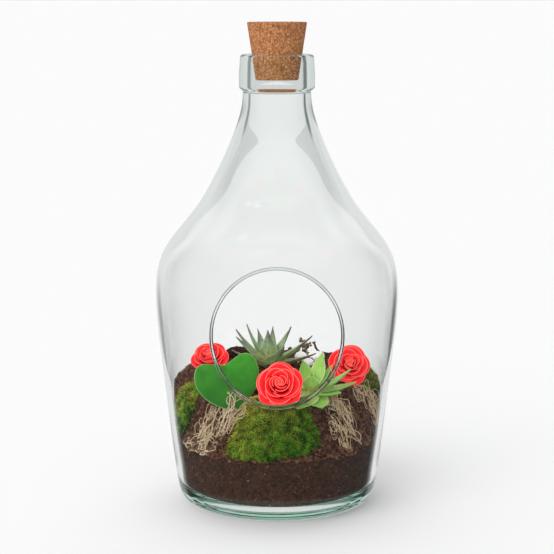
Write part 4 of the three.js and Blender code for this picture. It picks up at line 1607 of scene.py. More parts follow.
@dataclass
class FoamRose:
    """A rose cut from foam sheet: a rolled bud and rings of cupped petals that lap each other."""

    name: str
    radius: float
    centre: tuple[float, float, float]
    facing: tuple[float, float, float]
    spin: float
    foot: tuple[float, float, float]
    seed: int
    foam: float = 0.022
    middle: float = 0.42
    layer_turn: float = 0.9
    wire_radius: float = 0.9
    wire_depth: float = 12.0
    layers: Sequence[PetalLayer] = (
        PetalLayer(3, 2.5, (0.17, 0.5), (0.27, 1.03), 0.03, 0.02),
        PetalLayer(3, 2.5, (0.24, 0.43), (0.42, 1.0), 0.06, 0.06),
        PetalLayer(4, 2.1, (0.3, 0.34), (0.6, 0.88), 0.08, 0.1),
        PetalLayer(4, 2.1, (0.35, 0.24), (0.8, 0.7), 0.1, 0.14),
        PetalLayer(5, 2.0, (0.4, 0.1), (0.96, 0.46), 0.12, 0.17),
    )
    cone: Sequence[tuple[float, float]] = (
        (0.03, -0.12), (0.24, -0.07), (0.45, 0.04), (0.56, 0.2), (0.4, 0.4), (0.22, 0.5), (0.05, 0.56),
    )

    @staticmethod
    def foil(
        radius: np.ndarray,
        angle: np.ndarray,
        height: np.ndarray,
        half: np.ndarray | float,
        values: dict[str, np.ndarray],
    ) -> Surface:
        """A standing sheet of foam in the bloom's own cylinder coordinates.

        Args:
            radius: Its middle's distance from the bloom's axis, (rows, columns).
            angle: Its angle round the axis.
            height: Its height along the axis.
            half: How far either face lies from the middle.
            values: Named numbers as (rows, columns).

        Returns:
            The closed sheet.
        """
        reach = (radius + half, radius - half)
        faces = [np.stack([r * np.cos(angle), r * np.sin(angle), height + 0 * angle], axis=-1) for r in reach]
        return sheet(*faces, values)

    def petal(self, layer: PetalLayer, turn: float, rng: np.random.Generator) -> Surface:
        """A cupped sheet. With a across (-1 to 1) and w up (0 to 1, lower at the sides):

        angle = turn + a x span / 2 x (0.7 + 0.3 min(2w, 1)); radius runs from the root's to the edge's plus a
        belly x sin(pi w), a lap x a, and a curl outwards over the last quarter; the two faces lie half the
        sheet's thickness to either side and meet round the border. No two petals are quite as long.

        Args:
            layer: The ring that it belongs to.
            turn: Its angle round the bloom.
            rng: The source of chance.

        Returns:
            The closed petal.
        """
        across, up = 22, 15
        grow, tip = rng.uniform(0.9, 1.07), rng.uniform(-0.03, 0.05)
        a = np.linspace(-1, 1, across)[None, :]
        v = 1 - (1 - np.linspace(0, 1, up)[:, None]) ** 1.5
        w = v * (1 - 0.27 * np.abs(a) ** 1.8 + 0.04 * np.sin(3 * a + rng.uniform(0, 6)))
        angle = turn + a * layer.span / 2 * (0.7 + 0.3 * np.minimum(w * 2, 1))
        lip = np.clip((w - 0.7) / 0.3, 0, 1) ** 2
        wave = 0.022 * np.sin(2.6 * a + rng.uniform(0, 6)) * w
        r = (
            layer.root[0]
            + (layer.edge[0] * grow - layer.root[0]) * w
            + layer.belly * np.sin(w * np.pi)
            + 0.055 * a
            + layer.curl * lip
            + wave
        )
        z = layer.root[1] + (layer.edge[1] + tip - layer.root[1]) * w - layer.curl * 0.45 * lip**1.5
        border = np.maximum(np.abs(a) ** 14, v**14) * np.ones_like(w)
        half = self.foam * np.sqrt(np.maximum(1 - border, 0.1))
        free = np.maximum(np.abs(a) ** 1.5, v) + 0 * w
        # depth is low at a petal's root, down in the bloom, where the finish paints shade
        return self.foil(r, angle, z, half, {"free": free, "depth": 0.15 + 0.85 * v + 0 * w})

    def bud(self) -> Surface:
        """The rolled heart: a sheet wound two and a half turns, tighter towards the middle.

        Returns:
            The closed roll.
        """
        s = np.linspace(0, 1, 90)[None, :]
        v = np.linspace(0, 1, 9)[:, None]
        angle = s * 2 * np.pi * 2.6
        r = (0.012 + 0.178 * s) * (0.8 + 0.3 * v)
        z = 0.4 + (0.56 - 0.1 * (1 - s) + 0.02 * np.sin(angle * 1.3)) * v
        free = v + 0 * s
        return self.foil(r, angle, z, self.foam * 0.75, {"free": free, "depth": 0.2 + 0.6 * free})

    def core(self) -> Surface:
        """The cup and cone that the petals stand on.

        Returns:
            The closed cone.
        """
        points = turned(spline(self.cone, 26), 40)
        zero = np.zeros(points.shape[:2])
        # the core lies deep in the bloom, in the painted shade
        return skin(points, {"free": zero, "depth": zero + 0.1})

    def axes(self) -> tuple[np.ndarray, np.ndarray, np.ndarray]:
        """The bloom's axis, its turn from upright by the shortest way, and the petals' foot.

        Returns:
            The axis, the turn as a matrix, and the foot.
        """
        axis = np.array(self.facing) / np.linalg.norm(self.facing)
        v = np.cross([0, 0, 1], axis)
        cross = np.array([[0, -v[2], v[1]], [v[2], 0, -v[0]], [-v[1], v[0], 0]])
        turn = np.eye(3) + cross + cross @ cross / (1 + axis[2])
        c, s = math.cos(self.spin), math.sin(self.spin)
        spin = np.array([[c, -s, 0], [s, c, 0], [0, 0, 1]])
        return axis, turn @ spin, np.array(self.centre) - self.middle * self.radius * axis

    def build(self, foam: FoamFinish, wire: DryFinish) -> None:
        """Puts the bloom and its wire in place.

        Args:
            foam: The petals' finish.
            wire: The stem's finish.
        """
        rng = np.random.default_rng(self.seed)
        axis, turn, base = self.axes()
        petals = [
            self.petal(layer, start + k * self.layer_turn + rng.normal(scale=0.07), rng)
            for k, layer in enumerate(self.layers)
            for start in circle(layer.count)
        ]
        bloom = joined([*petals, self.bud(), self.core()])
        bloom.points = (bloom.points * self.radius) @ turn.T + base
        put(self.name + "_petals", bloom, foam.material(), [self.name])
        under = 0.1 * self.radius
        foot = np.array([self.foot[0], self.foot[1], self.foot[2] - self.wire_depth])
        knots = np.stack([foot, base - axis * (5 + under), base + axis * (4 - under)])
        t = np.linspace(0, 1, 30)[:, None]
        path = (1 - t) ** 2 * knots[0] + 2 * t * (1 - t) * knots[1] + t * t * knots[2]
        stem = tubes(path[None], self.wire_radius, 12)
        put(self.name + "_stem", stem, wire.material(), [self.name + "_wire"])


# ---------------------------------------------------------------- dried roots
@dataclass
class RootTangle:
    """Curly dried roots in loose piles that lie on soil and moss.

    A pile is [x, y, half width, half depth, strands, lowest and highest height over what lies under it].
    """

    name: str
    soil: PottingSoil
    cushions: Sequence[MossCushion]
    seed: int
    piles: Sequence[tuple[float, float, float, float, int, float, float]]
    steps: int = 130
    stride: float = 0.8
    thickness: float = 0.36
    wall_gap: float = 1.6
    curl: tuple[float, float] = (0.01, 0.1)
    slow_wave: tuple[float, float] = (0.06, 0.16)
    quick_wave: tuple[float, float] = (0.35, 0.7)
    kink: tuple[float, float] = (0.05, 0.2)
    bend: float = 0.14
    free: float = 0.6
    steering: float = 0.45

    def cover(self, x: np.ndarray, y: np.ndarray) -> np.ndarray:
        """Height of the soil with the moss on it.

        Args:
            x: Left or right of the axis.
            y: In front of the axis or behind it.

        Returns:
            The height at each place.
        """
        best = np.zeros_like(x)
        for moss in self.cushions:
            a = math.radians(moss.turn)
            dx, dy = x - moss.x, y - moss.y
            u = (dx * math.cos(a) + dy * math.sin(a)) / moss.half_length
            v = (dy * math.cos(a) - dx * math.sin(a)) / moss.half_width
            rise = (moss.height + moss.tuft) * np.sqrt(np.clip(1.1 - u * u - v * v, 0, 1))
            best = np.maximum(best, rise)
        return self.soil.height(x, y) + best

    def paths(self) -> np.ndarray:
        """Every strand at once, step by step.

        A strand's bend is a slow wave and a quick one on a faint steady curl, so that it runs straight, then
        turns in a small loop. It is steered home when it leaves its pile. Its height is an arch over what it
        lies on, with a slower bob, so that strands cross.

        Returns:
            The strands as (strands, steps, 3).
        """
        rng = np.random.default_rng(self.seed)
        pile = np.array(self.piles)[np.repeat(np.arange(len(self.piles)), [p[4] for p in self.piles])]
        n = len(pile)
        start = rng.uniform(0, 2 * np.pi, n)
        reach = np.sqrt(rng.uniform(0, 0.9, n))
        x = pile[:, 0] + pile[:, 2] * reach * np.cos(start)
        y = pile[:, 1] + pile[:, 3] * reach * np.sin(start)
        heading = rng.uniform(0, 2 * np.pi, n)
        curl = rng.choice([-1, 1], n) * rng.uniform(*self.curl, n)
        wave, phase = rng.uniform(*self.slow_wave, n), rng.uniform(0, 6, n)
        quick, kink = rng.uniform(*self.quick_wave, n), rng.uniform(*self.kink, n)
        length = rng.uniform(0.5, 1.0, n)
        level = rng.uniform(0.05, 1, n) ** 1.3
        out = []
        for step in range(self.steps):
            share = step / (self.steps - 1)
            arch = math.sin(share * math.pi) ** 0.5
            bob = 0.5 + 0.5 * np.sin(share * 9 * length + phase)
            z = self.cover(x, y) + 0.5 + (pile[:, 5] + (pile[:, 6] - pile[:, 5]) * level * bob) * arch
            out.append(np.stack([x, y, z], axis=-1))
            slow = self.bend * np.sin(step * wave + phase)
            heading = heading + curl + slow + kink * np.sin(step * quick + 2 * phase)
            off = np.hypot((x - pile[:, 0]) / pile[:, 2], (y - pile[:, 1]) / pile[:, 3])
            home = np.arctan2(pile[:, 1] - y, pile[:, 0] - x)
            heading = heading + np.clip(off - self.free, 0, 1) * self.steering * np.sin(home - heading)
            stride = self.stride * length
            x, y = x + stride * np.cos(heading), y + stride * np.sin(heading)
            x, y = self.soil.bottle.drawn_in(x, y, self.soil.height(x, y), self.wall_gap)
        return np.stack(out, axis=1)

    def build(self, finish: DryFinish) -> None:
        """Puts the tangle in place: strands that thin towards their ends and swell a little at knots."""
        rng = np.random.default_rng(self.seed + 1)
        paths = self.paths()
        n, share = len(paths), np.linspace(-1, 1, self.steps)[None, :]
        knots = 1 + 0.14 * np.sin(np.arange(self.steps)[None, :] * 0.8 + rng.uniform(0, 6, (n, 1)))
        radius = self.thickness * rng.uniform(0.6, 1.1, (n, 1)) * (1 - 0.5 * share**4) * knots
        put(self.name + "_strands", tubes(paths, radius, 6), finish.material(), [self.name])


# ---------------------------------------------------------------- pebbles, bark and twigs
def golden_ball(count: int) -> np.ndarray:
    """Unit vectors spread evenly: equal steps of height, each turned on by about the golden angle.

    Args:
        count: How many.

    Returns:
        The vectors, (count, 3).
    """
    turn = np.arange(count) * 2.4
    z = 1 - 2 * (np.arange(count) + 0.5) / count
    return np.stack([np.sqrt(1 - z * z) * np.cos(turn), np.sqrt(1 - z * z) * np.sin(turn), z], axis=-1)


@dataclass
class Stone:
    """A broken stone: an oval ball cut by random planes, its edges a little worn."""

    name: str
    x: float
    y: float
    size: tuple[float, float, float]
    seed: int
    ground: float
    lift: float = 0.42
    cuts: int = 15
    wear: float = 26.0
    rough: float = 0.02
    sharp_from: float = 40.0

    def surface(self) -> Surface:
        """Radius(d) = soft minimum over the planes of offset / (normal . d), times the oval's half sizes.

        Returns:
            The closed stone.
        """
        rng = np.random.default_rng(self.seed)
        d = globe(96, 60)
        planes = golden_ball(self.cuts)
        planes = unit(planes + rng.normal(scale=0.22, size=planes.shape))
        offsets = rng.uniform(0.74, 0.96, self.cuts)
        facing = np.maximum(d @ planes.T, 1e-3) / offsets
        radius = 1 / (facing**self.wear).sum(-1) ** (1 / self.wear)
        radius = np.minimum(radius, 1.04) * (1 + self.rough * ripple(d, 0.35, self.seed))
        centre = np.array([self.x, self.y, self.ground + self.size[2] * self.lift])
        return skin(d * radius[..., None] * np.array(self.size) / 2 + centre)

    def build(self, finish: DryFinish, slot: str) -> None:
        """Puts the stone in place, its broken edges sharp."""
        put(self.name + "_stone", self.surface(), finish.material(), [self.name], self.sharp_from)


@dataclass
class Twig:
    """A dry twig: a bent stem, side shoots and buds. Points are [x, y, height above the soil]."""

    name: str
    soil: PottingSoil
    radius: float
    stem: Sequence[tuple[float, float, float]]
    shoots: Sequence[tuple[int, tuple[float, float, float]]]
    buds: int
    bud_size: float

    def rest(self, point: tuple[float, float, float]) -> np.ndarray:
        """A point above the soil as a place."""
        x, y, above = point
        return np.array([x, y, self.soil.level(x, y) + above])

    def line(self, points: np.ndarray, radius: float, seed: int) -> Surface:
        """A thin uneven branch through the points: straight runs, eased at the bends, with small kinks.

        Args:
            points: The bends that it passes.
            radius: At its foot.
            seed: Which kinks it has.

        Returns:
            The closed branch.
        """
        at = np.linspace(0, len(points) - 1, 12 * len(points))
        path = np.stack([np.interp(at, np.arange(len(points)), points[:, k]) for k in range(3)], axis=-1)
        smooth = path.copy()
        smooth[2:-2] = (path[:-4] + path[1:-3] + path[2:-2] + path[3:-1] + path[4:]) / 5
        kinks = np.stack([ripple(smooth, 6, seed + k) for k in range(3)], axis=-1)
        width = radius * (1 - 0.35 * np.linspace(0, 1, len(smooth))) * (1 + 0.15 * ripple(smooth, 2.5, seed))
        return tubes((smooth + 0.35 * kinks)[None], width[None], 9)

    def build(self, finish: DryFinish, bud: DryFinish) -> None:
        """Puts the twig and its buds in place.

        Args:
            finish: The wood's finish.
            bud: The buds' finish.
        """
        joints = np.stack([self.rest(point) for point in self.stem])
        parts = [self.line(joints, self.radius, 51)]
        ends = [joints[-1]]
        for k, (at, end) in enumerate(self.shoots):
            parts.append(self.line(np.stack([joints[at], self.rest(end)]), self.radius * 0.7, 61 + k))
            ends.append(self.rest(end))
        put(self.name + "_stem", joined(parts), finish.material(), [self.name])
        rng = np.random.default_rng(len(self.stem))
        shape = skin(globe(7, 4))
        shape.points = shape.points * (1 + 0.2 * ripple(shape.points, 1.2, 9))[:, None]
        where = np.repeat(np.stack(ends), self.buds, axis=0)
        where = where + rng.normal(scale=self.bud_size * 0.55, size=where.shape)
        size = self.bud_size * rng.uniform(0.45, 0.8, len(where))
        stretch = size[:, None] * rng.uniform(0.55, 1.0, (len(where), 3))
        frames = about(rng.normal(size=where.shape)) * stretch[:, None, :]
        put(self.name + "_buds", scatter(shape, where, frames), bud.material(), [self.name])


# ---------------------------------------------------------------- studio
class Lamp(Enum):
    """Where a soft lamp stands: its direction from the object."""

    KEY = (-0.46, -0.72, 0.52)
    TOP = (0.05, 0.62, 0.78)


@dataclass(frozen=True)
class Gauze:
    """A dark gauze beside the bottle: its x, height, nearest and farthest y in metres, and its darkness."""

    name: str
    side: float
    height: float
    near: float
    far: float
    shade: float


@dataclass
class Studio:
    """A pale floor under a pale sky, two broad soft lamps, and the camera at the photograph's angle.

    The room in front is dark but for a soft box on the left, so the glass stays clear and its outlines are
    drawn. The floor is left out of reflections, which show that room instead. A pair of numbers such as
    back_from is the part of a direction's x, y or z over which that part of the room is eased in.
    """

    camera_place: tuple[float, float, float] = (0.0, -1.3721, 0.402)
    camera_tilt: float = 80.9
    focal_length: float = 112.4
    floor_reach: float = 1500.0
    floor_tone: float = 0.87
    floor_light: float = 0.1
    behind: float = 0.965
    room: float = 0.1
    below: float = 0.6
    soft_box: float = 0.16
    ceiling: float = 0.6
    right_dark: float = 0.85
    left_dark: float = 0.7
    tent: float = 0.62
    tent_lean: float = 0.7
    key_strength: float = 1.45
    top_strength: float = 1.05
    turns: int = 32
    low_sides: tuple[float, float] = (-0.3, 0.0)
    back_from: tuple[float, float] = (-0.18, 0.16)
    below_from: tuple[float, float] = (-0.85, -0.55)
    ceiling_from: tuple[float, float] = (0.35, 0.9)
    box_side: tuple[float, float] = (-0.6, -0.1)
    box_height: tuple[float, float] = (-0.35, 0.1)
    right_from: tuple[float, float] = (0.64, 0.76)
    left_from: tuple[float, float] = (-0.78, -0.66)
    gauzes: Sequence[Gauze] = (
        Gauze("right", 0.3, 0.2, 0.08, 0.62, 0.8),
        Gauze("left", -0.3, 0.18, 0.08, 0.58, 0.55),
    )

    def card(
        self, name: str, corners: Sequence[tuple[float, float, float]], paint: Paint
    ) -> bpy.types.Object:
        """Stands one flat piece of the studio, with four corners in metres, in its place.

        Args:
            name: The piece's name.
            corners: Its four corners in metres.
            paint: Its finish.

        Returns:
            The piece.
        """
        mesh = bpy.data.meshes.new(name)
        mesh.from_pydata(corners, [], [(0, 1, 2, 3)])
        mesh.materials.append(paint.material)
        card = bpy.data.objects.new(name, mesh)
        bpy.context.scene.collection.objects.link(card)
        return card

    def gauze(self, wanted: Gauze) -> None:
        """A dark gauze, out of the picture, that draws a dark line down the bottle's thick edge.

        Its share of dark is eased in over y, out again towards the far end, and out over its height.
        """
        name = "studio_flag_" + wanted.name
        paint = Paint(
            "dark_gauze_" + wanted.name, Roughness=1.0, Base_Color=(0.0, 0.0, 0.0), Specular_IOR_Level=0.0
        )
        parts = paint.node("ShaderNodeSeparateXYZ")
        paint.link(paint.place, parts.inputs[0])
        _, y, z = parts.outputs
        ends = paint.maths(
            "MULTIPLY",
            paint.eased(y, wanted.near, wanted.near + 0.12),
            paint.eased(y, wanted.far, wanted.far - 0.16),
        )
        dark = paint.maths("MULTIPLY", ends, paint.eased(z, wanted.height, 0.3 * wanted.height))
        clear = paint.node("ShaderNodeBsdfTransparent").outputs[0]
        paint.show(paint.blended(paint.maths("MULTIPLY", dark, wanted.shade), clear, paint.shader.outputs[0]))
        low, high = 0.001, wanted.height
        foot = [(wanted.side, wanted.near, low), (wanted.side, wanted.far, low)]
        head = [(wanted.side, wanted.far, high), (wanted.side, wanted.near, high)]
        card = self.card(name, foot + head, paint)
        card.visible_camera = card.visible_diffuse = card.visible_shadow = False

    def floor(self) -> None:
        """A wide level floor, matt, that only reflections pass through."""
        paint = Paint(
            "pale_floor",
            Roughness=1.0,
            Base_Color=(self.floor_tone,) * 3,
            Specular_IOR_Level=0.0,
            Emission_Color=(1.0, 1.0, 1.0),
            Emission_Strength=self.floor_light,
        )
        path = paint.node("ShaderNodeLightPath").outputs
        reflected = paint.maths("GREATER_THAN", path["Glossy Depth"], 0.5)
        open_air = paint.node("ShaderNodeBsdfTransparent").outputs[0]
        paint.show(paint.blended(reflected, paint.shader.outputs[0], open_air))
        r = self.floor_reach
        self.card("studio_floor", [(-r, -r, 0), (r, -r, 0), (r, r, 0), (-r, r, 0)], paint)

    def shown(self, air: Wiring, x: Socket, y: Socket, z: Socket) -> Socket:
        """What the glass shows, by direction (x right, y back, z up).

        As bright as the floor behind and straight below, the ceiling overhead, dark in front and low at both
        sides, a faint soft box to the left in front, and darker at either side, which draws the glass's
        outline.

        Args:
            air: The room's wiring.
            x: How far the direction points right.
            y: How far it points back.
            z: How far it points up.

        Returns:
            The brightness.
        """
        low = air.maths("SUBTRACT", 1.0, air.eased(z, *self.low_sides))
        aside = air.maths("MULTIPLY", air.maths("MULTIPLY", air.maths("ABSOLUTE", x), 1.1), low)
        back = air.eased(air.maths("SUBTRACT", y, aside), *self.back_from)
        down = air.maths("SUBTRACT", 1.0, air.eased(z, *self.below_from))
        back = air.maths("MAXIMUM", back, air.maths("MULTIPLY", down, self.below))
        back = air.maths("MULTIPLY", back, self.behind - self.room)
        above = air.maths("MULTIPLY", air.eased(z, *self.ceiling_from), self.ceiling - self.room)
        left = air.maths("SUBTRACT", 1.0, air.eased(x, *self.box_side))
        box = air.maths("MULTIPLY", left, air.eased(z, *self.box_height))
        box = air.maths("MULTIPLY", box, self.soft_box)
        most = air.maths("MAXIMUM", air.maths("MAXIMUM", back, above), box)
        right_side = air.maths("MULTIPLY", air.eased(x, *self.right_from), self.right_dark)
        left_side = air.maths("SUBTRACT", 1.0, air.eased(x, *self.left_from))
        left_side = air.maths("MULTIPLY", left_side, self.left_dark)
        open_share = air.maths("SUBTRACT", 1.0, air.maths("MAXIMUM", right_side, left_side))
        return air.maths("ADD", air.maths("MULTIPLY", most, open_share), self.room)

    def world(self) -> None:
        """The room round the object.

        The camera sees an even pale wall past the floor's edge, the glass sees the room by direction, and
        what lights the matt pieces is one tent of light instead, brighter on the left.
        """
        world = bpy.data.worlds.new("studio")
        world.use_nodes = True
        air = Wiring(world.node_tree)
        parts = air.node("ShaderNodeSeparateXYZ")
        air.link(air.node("ShaderNodeTexCoord").outputs["Generated"], parts.inputs[0])
        x, y, z = parts.outputs
        path = air.node("ShaderNodeLightPath").outputs
        in_glass = air.maths("MAXIMUM", path["Is Glossy Ray"], path["Is Transmission Ray"])
        lean = air.maths("SUBTRACT", 1.0, air.maths("MULTIPLY", x, self.tent_lean))
        tent = air.maths("MULTIPLY", lean, self.tent)
        gain = air.maths("SUBTRACT", self.shown(air, x, y, z), tent)
        strength = air.maths("ADD", tent, air.maths("MULTIPLY", in_glass, gain))
        gain = air.maths("SUBTRACT", self.behind, strength)
        strength = air.maths("ADD", strength, air.maths("MULTIPLY", path["Is Camera Ray"], gain))
        light = air.node("ShaderNodeBackground")
        air.link(strength, light.inputs["Strength"])
        air.link(light.outputs[0], air.node("ShaderNodeOutputWorld").inputs["Surface"])
        bpy.context.scene.world = world

    def lamp(self, which: Lamp, strength: float, spread: float) -> None:
        """A broad soft lamp, far off, that lights everything evenly and shows in no reflection.

        Args:
            which: Where it stands.
            strength: In watts a square metre.
            spread: Its width in degrees.
        """
        name = "soft_lamp_" + which.name.lower()
        light = bpy.data.lights.new(name, "SUN")
        light.energy = strength
        light.angle = math.radians(spread)
        lamp = bpy.data.objects.new(name, light)
        lamp.rotation_euler = Vector(which.value).to_track_quat("Z", "Y").to_euler()
        lamp.visible_glossy = False
        lamp.visible_transmission = False
        lamp.visible_camera = False
        bpy.context.scene.collection.objects.link(lamp)

    def camera(self) -> None:
        """The camera, level with the bottle's neck and tilted down on its middle."""
        data = bpy.data.cameras.new("camera")
        data.lens = self.focal_length
        data.sensor_width = 36.0
        data.clip_start, data.clip_end = 0.05, 3 * self.floor_reach
        camera = bpy.data.objects.new("camera", data)
        camera.location = self.camera_place
        camera.rotation_euler = (math.radians(self.camera_tilt), 0.0, 0.0)
        bpy.context.scene.collection.objects.link(camera)
        bpy.context.scene.camera = camera

    def build(self) -> None:
        """Sets up the floor, the room, the lamps, the camera, a plain view of the tones and long light paths.

        Light turns many times inside the thick foot of the bottle before it comes out.
        """
        scene = bpy.context.scene
        scene.view_settings.view_transform = "Standard"
        scene.cycles.max_bounces = self.turns
        scene.cycles.glossy_bounces = self.turns
        scene.cycles.transmission_bounces = self.turns
        self.floor()
        for gauze in self.gauzes:
            self.gauze(gauze)
        self.world()
        self.lamp(Lamp.KEY, self.key_strength, 65.0)
        self.lamp(Lamp.TOP, self.top_strength, 70.0)
        self.camera()


# ---------------------------------------------------------------- the terrarium
GREY_LEAF = LeafFinish(
    name="grey_green_leaf",
    foot=tone("f0f294"),
    body=tone("b8d6a4"),
    tip=tone("847a72"),
    edge=tone("eeeedc"),
    streak=tone("375f3f"),
    speckle=tone("f6faee"),
    speckle_share=0.75,
    glow=0.12,
    line_share=0.8,
)
LIGHT_LEAF = LeafFinish(
    name="light_green_leaf",
    foot=tone("ecfaa8"),
    body=tone("c4ee84"),
    tip=tone("a8dc6c"),
    edge=tone("f4fcd4"),
    streak=tone("84c850"),
    speckle=tone("d0eca4"),
    speckle_share=0.2,
    edge_from=0.84,
    glow=0.15,
)
# Painted light on the heart leaf: darker at the foot and lighter towards the top lobes, where light falls.
HEART_GREEN = LeafFinish(
    name="heart_leaf_green",
    foot=tone("2a7a1c"),
    body=tone("3a9427"),
    tip=tone("4cac32"),
    # painted highlight: a thin pale rim along the edge
    edge=tone("9cc074"),
    streak=tone("256a1c"),
    speckle=tone("3f9830"),
    speckle_share=0.05,
    edge_from=0.97,
    roughness=0.5,
    glow=0.1,
    cloud_mm=11.0,
    line_share=0.0,
)
DRY_ROOT = DryFinish("dried_root", tone("cfa67a"), tone("fff4dc"), 3.0, 0.1, 0.85, True)
GREEN_WIRE = DryFinish("wrapped_wire", tone("2c4a24"), tone("4c7a3c"), 1.0, 0.1, 0.5)
# the quartz's painted glow lightens the pebbles
QUARTZ = DryFinish("white_quartz", tone("ece8e6"), tone("fffdfc"), 3.0, 0.3, 0.45, painted_glow=0.28)
DARK_BARK = DryFinish("dark_bark", tone("24140f"), tone("5c3a33"), 2.5, 1.0, 0.95)
DRY_TWIG = DryFinish("dry_twig", tone("5f5345"), tone("a39380"), 2.0, 0.25, 0.85)
DARK_TWIG = DryFinish("dark_twig", tone("33271f"), tone("6b5a4c"), 2.0, 0.3, 0.9)
BUD = DryFinish("dried_bud", tone("5e4638"), tone("a88c74"), 1.2, 0.3, 0.85)
HUSK = DryFinish("husk_fibre", tone("6b3a28"), tone("c08862"), 2.0, 0.1, 0.9, True)


# A leaf is its azimuth, its rise, its length and its width, and the small heart leaves come last.
SPIKY_LEAVES = (
    (205, 43, 43, 17), (182, 58, 38, 17), (268, 72, 31, 20), (70, 64, 32, 15), (22, 52, 36, 16),
    (352, 30, 44, 21), (338, 12, 44, 21), (304, 34, 30, 21), (228, 18, 30, 20), (268, 6, 29, 22),
    (112, 40, 36, 15), (150, 28, 37, 15), (58, 32, 35, 15), (188, 18, 33, 16), (90, 14, 34, 14),
    (310, 78, 22, 9), (190, 80, 20, 8), (60, 82, 18, 8),
)
BROAD_LEAVES = (
    (40, 62, 31, 18), (125, 58, 25, 15), (268, 50, 17, 15), (352, 26, 36, 18), (2, 6, 36, 17),
    (222, -6, 31, 18), (250, -18, 33, 21), (325, 0, 28, 19), (284, -18, 31, 21), (155, 18, 25, 14),
    (90, 22, 26, 14), (12, 44, 26, 17),
    (330, 72, 15, 8), (200, 75, 14, 8), (80, 78, 13, 7),
)


def spiky_outline(t: np.ndarray) -> np.ndarray:
    """Width along a spiky leaf: (0.8 + 1.1 t (0.45 - t)) (1 - t)^0.6, times 1.15."""
    return (0.8 + 1.1 * t * (0.45 - t)) * np.maximum(1 - t, 0) ** 0.6 * 1.15


def broad_outline(t: np.ndarray) -> np.ndarray:
    """Width along a broad leaf: (0.62 + 1.5 t (1.05 - t)) (1 - t^3.2)^0.8."""
    return (0.62 + 1.5 * t * (1.05 - t)) * np.maximum(1 - t**3.2, 0) ** 0.8


def fill(soil: PottingSoil) -> None:
    """Puts the bank of soil in place, with loose crumbs and fibres on it."""
    put("soil_bank", soil.surface(), SoilFinish().material(), ["soil"])
    dry = SoilFinish(tone("33201a"), tone("7c5240"), tone("bd8a6c"), tone("d6b498"), "dry_crumbs")
    put("soil_crumbs", soil.crumb_surface(), dry.material(), ["soil"])
    put("soil_fibres", soil.fibre_surface(), HUSK.material(), ["soil"])


def cushions_of_moss(soil: PottingSoil) -> list[MossCushion]:
    """Puts the three cushions in place, in front and at either wall.

    Args:
        soil: The bank that they lie on.

    Returns:
        The cushions.
    """
    front = MossCushion(
        "moss_front", soil, x=-2.5, y=-60, half_length=34, half_width=17, turn=2, height=8, tuft=2.0, seed=3,
        stems=4200, olive_towards=(-0.6, 0.5, 0.6), olive=0.4, pinch=0.3, slant=0.35,
    )
    left = MossCushion(
        "moss_left", soil, x=-73, y=-14, half_length=12, half_width=11, turn=112, height=4.5, tuft=1.4,
        seed=7, stems=900, olive_towards=(0.2, 0.9, 0.2), olive=0.45,
    )
    right = MossCushion(
        "moss_right", soil, x=70, y=16, half_length=19, half_width=10, turn=108, height=4.0, tuft=1.4,
        seed=11, stems=1100, olive_towards=(0.3, 0.6, 0.2), olive=0.62,
    )
    for cushion in (front, left, right):
        cushion.build(MossFinish())
    return [front, left, right]


def plant(soil: PottingSoil) -> None:
    """Plants the two rosettes and the heart leaf."""
    Rosette(
        name="spiky_rosette",
        centre=(-7, 34, 104),
        ground=soil.level(-7, 34),
        neck_radius=4.0,
        neck_depth=9.0,
        thickness=4.4,
        bow=0.16,
        hollow=0.3,
        keel=1.25,
        outline=spiky_outline,
        leaves=SPIKY_LEAVES,
    ).build(GREY_LEAF, "grey_leaf")
    Rosette(
        name="broad_rosette",
        centre=(27, -35, 97),
        ground=soil.level(27, -35),
        neck_radius=3.6,
        neck_depth=9.0,
        thickness=3.6,
        bow=0.2,
        hollow=0.38,
        keel=1.5,
        outline=broad_outline,
        leaves=BROAD_LEAVES,
    ).build(LIGHT_LEAF, "light_leaf")
    foot = soil.level(-32.5, -43)
    HeartLeaf(tip=(-32, -43, foot + 2.4), ground=foot).build(HEART_GREEN)


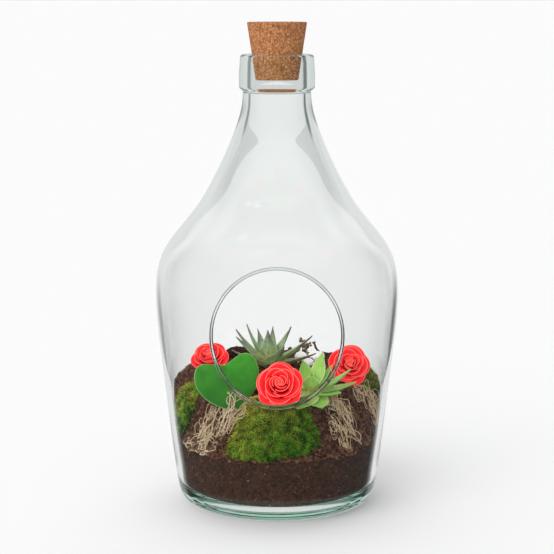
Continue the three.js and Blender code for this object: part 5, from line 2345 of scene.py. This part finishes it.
def decorate(soil: PottingSoil, cushions: Sequence[MossCushion]) -> None:
    """Stands the roses on their wires and lays the roots, stones and twigs down.

    Args:
        soil: The bank that all of it stands on.
        cushions: The moss that roots may lie on.
    """
    for name, radius, centre, facing, spin, (x, y), seed in (
        ("rose_front", 17.6, (2, -60, 106.5), (0.0, -0.86, 0.5), 0.3, (3, -44), 71),
        ("rose_right", 15.2, (59, 2, 110), (0.0, -0.85, 0.52), 1.5, (56, 16), 72),
        ("rose_left", 14.4, (-56, 26, 111), (-0.1, -0.6, 0.8), 2.2, (-57, 21), 73),
    ):
        rose = FoamRose(name, radius, centre, facing, spin, (x, y, soil.level(x, y)), seed)
        rose.build(FoamFinish(), GREEN_WIRE)

    left_piles = ((-57, -41, 17, 6, 13, 0, 9), (-35, -47, 17, 3, 9, 4, 22), (-52, -55, 6, 4, 2, 0, 3))
    right_piles = ((46, -33, 18, 4, 14, 0, 12), (70, -9, 12, 5, 11, 0, 10), (51, -46, 8, 5, 6, 0, 3))
    RootTangle("dried_roots_left", soil, cushions, 21, left_piles).build(DRY_ROOT)
    RootTangle("dried_roots_right", soil, cushions, 34, right_piles).build(DRY_ROOT)

    for name, (x, y), size, seed in (
        ("pebble_1", (20, 50), (11, 9, 10), 5),
        ("pebble_2", (33, 54), (15, 11, 10), 9),
        ("pebble_3", (26, 41), (9.5, 8, 7), 13),
    ):
        Stone(name, x, y, size, seed, soil.level(x, y)).build(QUARTZ, "pebble")
    bark = Stone(
        "bark_piece", -31, 56, (27, 13, 13), 2, soil.level(-31, 56), lift=0.3, cuts=12, wear=20, rough=0.07
    )
    bark.build(DARK_BARK, "bark")

    Twig(
        "twig_flower_stalk",
        soil,
        radius=1.1,
        stem=((4, 64, -1), (11, 61, 4), (18, 58, 8), (22.5, 57, 13)),
        shoots=((3, (26.5, 58, 12)), (3, (20.5, 59, 17)), (3, (28, 49, 3))),
        buds=6,
        bud_size=2.4,
    ).build(DRY_TWIG, BUD)
    Twig(
        "twig_dark",
        soil,
        radius=1.2,
        stem=((50, 56, -1), (46, 60, 5), (38, 60, 4), (32.5, 61, 8), (31.5, 60, 13)),
        shoots=((2, (40, 67, 2)), (1, (53, 63, 3))),
        buds=2,
        bud_size=2.0,
    ).build(DARK_TWIG, DARK_TWIG)


def main() -> None:
    """Builds the terrarium piece by piece, then the studio."""
    logging.basicConfig(level=logging.INFO, format="%(name)s %(message)s")
    bottle = GlassBottle()
    put("glass_bottle", bottle.surface(), GlassFinish().material(), ["bottle"])
    put("cork_stopper", CorkStopper().surface(), CorkFinish().material(), ["cork"])
    soil = PottingSoil(bottle)
    fill(soil)
    cushions = cushions_of_moss(soil)
    plant(soil)
    decorate(soil, cushions)
    Studio().build()


if __name__ == "__main__":
    main()
